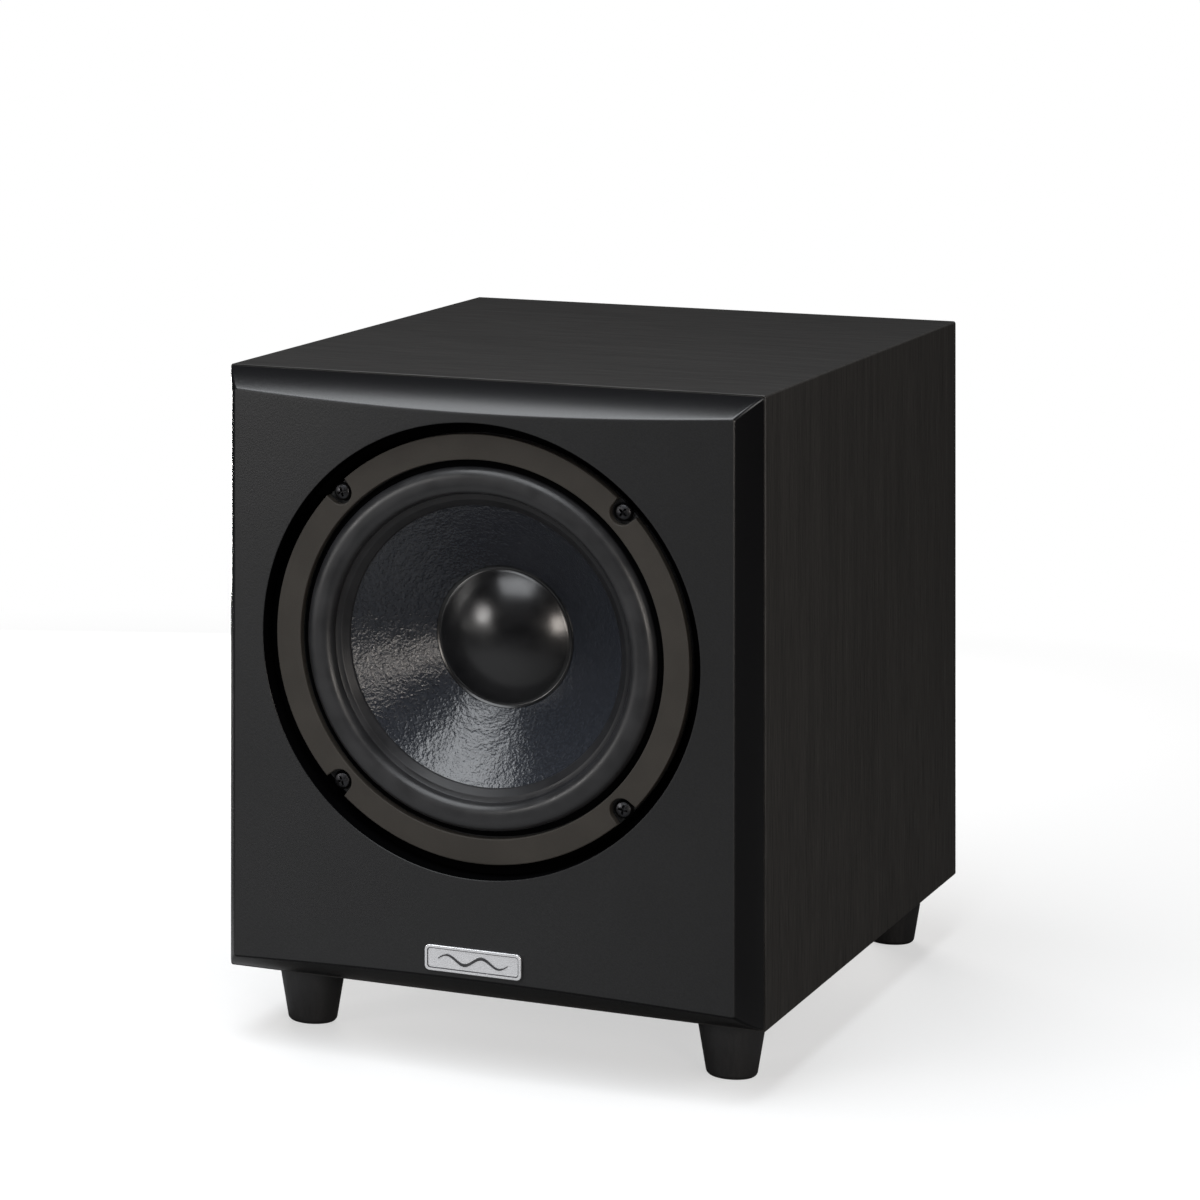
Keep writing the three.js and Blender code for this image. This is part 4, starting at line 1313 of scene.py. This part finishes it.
def make_floor():
    """A pale floor that fades into the white backdrop well away from the object.

    What the object sees of it is darker than what the camera sees, but for a patch in front.
    """
    size = 40
    mesh = bpy.data.meshes.new("floor")
    corners = [(-size, -size, 0), (size, -size, 0), (size, size, 0), (-size, size, 0)]
    mesh.from_pydata(corners, [], [(0, 1, 2, 3)])
    look = Finish("floor", (0.37, 0.37, 0.37), 0.9)
    camera_ray = look.node("LightPath", {})["Is Camera Ray"]
    look.stain(camera_ray, (0.88, 0.88, 0.88))
    look.grain(3, detail=3, tones=(0.985, 1.0))
    near = look.spread(look.distance((-0.15, -0.45, 0)), 0.15, 0.55, 1, 0.1)
    look.tint(look.blend(near, 1.0, camera_ray), 0, 1, 0, 1)
    far = look.spread(look.distance((0, 0, 0)), 0.2, 1.2, 0.55, 1)
    white = look.node("Emission", {"Color": (1, 1, 1, 1), "Strength": 1.0})[0]
    fade = look.times(far, camera_ray)
    mix = look.node("MixShader", {0: fade, 1: look.shader.outputs[0], 2: white})[0]
    look.tree.links.new(mix, look.tree.nodes["Material Output"].inputs["Surface"])
    mesh.materials.append(look.material)
    placed("floor", mesh)


def make_world():
    """White behind the object for the camera, and a dim room for everything else."""
    world = bpy.data.worlds.new("studio")
    bpy.context.scene.world = world
    world.use_nodes = True
    tree = world.node_tree
    camera_ray = add_node(tree, "LightPath", {})["Is Camera Ray"]
    room = add_node(tree, "Background", {"Color": (0.022, 0.022, 0.023, 1)})[0]
    backdrop = add_node(tree, "Background", {"Color": (1, 1, 1, 1)})[0]
    mix = add_node(tree, "MixShader", {0: camera_ray, 1: room, 2: backdrop})[0]
    tree.links.new(mix, tree.nodes["World Output"].inputs["Surface"])


def softbox(name, offset, facing, size, radiance, colour):
    """A rectangular light at an offset from the driver, shining away from where it stands."""
    light = bpy.data.lights.new(name, "AREA")
    light.shape = "RECTANGLE"
    light.size, light.size_y = size
    light.energy = radiance * 4 * size[0] * size[1]
    light.color = colour
    obj = placed(name, light)
    obj.location = Vector(to_row((0, 0, DRIVER_Z))) + offset
    obj.rotation_euler = facing.to_track_quat("Z", "Y").to_euler()


def standing_softbox(name, azimuth, elevation, distance, size, radiance, colour):
    """A softbox aimed at the driver. Azimuth 0 is in front and grows to the right."""
    a, e = radians(azimuth), radians(elevation)
    towards = Vector((sin(a) * cos(e), -cos(a) * cos(e), sin(e)))
    softbox(name, towards * distance, towards, size, radiance, colour)


def make_lights():
    cool, warm, neutral = (0.94, 0.97, 1.0), (1.0, 0.93, 0.86), (1.0, 0.98, 0.96)
    overhead = Vector((-0.2, -1.04, 1.6))
    softbox("overhead", overhead, Vector((0, 0, 1)), (1.35, 2.8), 4.4, cool)
    standing_softbox("right_key", 39, 7, 1.9, (0.34, 0.42), 16.0, warm)
    standing_softbox("right_rim", 63, 10, 1.9, (0.34, 0.5), 6.0, warm)
    standing_softbox("left_key", -36, 10, 1.9, (0.36, 0.36), 15.0, neutral)
    standing_softbox("left_wall", -41, -8, 2.4, (1.5, 1.1), 0.8, neutral)
    standing_softbox("side_fill", 105, 32, 2.4, (1.2, 1.0), 2.45, neutral)
    standing_softbox("back_fill", 204, -3.5, 1.25, (0.62, 0.2), 27.0, neutral)


VIEWPOINT = (0.7568, -2.40595, 0.6204)
LOOKS_ALONG = (-0.4811, 0.8767, 0)
LENS = 137.6
SHIFT = (0.7577, -0.6407)


def hold_shift(camera, home, path, value):
    """Gives the lens its shift at the viewpoint, and none when the camera is moved elsewhere."""
    curve = camera.data.driver_add(path)
    for modifier in list(curve.modifiers):
        curve.modifiers.remove(modifier)
    curve.driver.type = "SUM"
    variable = curve.driver.variables.new()
    variable.type = "LOC_DIFF"
    variable.targets[0].id = camera
    variable.targets[1].id = home
    for moved_by, shift in ((0, value), (0.05, 0)):
        curve.keyframe_points.insert(moved_by, shift).interpolation = "LINEAR"
    curve.extrapolation = "CONSTANT"


def make_camera():
    """A level camera with a shifted lens, so that the cabinet's uprights stay upright."""
    home = placed("viewpoint", None)
    camera = placed("camera", bpy.data.cameras.new("camera"))
    home.location = camera.location = VIEWPOINT
    camera.rotation_euler = Vector(LOOKS_ALONG).to_track_quat("-Z", "Y").to_euler()
    camera.data.lens = LENS
    camera.data.clip_end = 100
    for path, value in (("shift_x", SHIFT[0]), ("shift_y", SHIFT[1])):
        setattr(camera.data, path, value)
        hold_shift(camera, home, path, value)
    bpy.context.scene.camera = camera


make_floor()
make_world()
make_lights()
make_camera()
bpy.context.scene.view_settings.view_transform = "Standard"
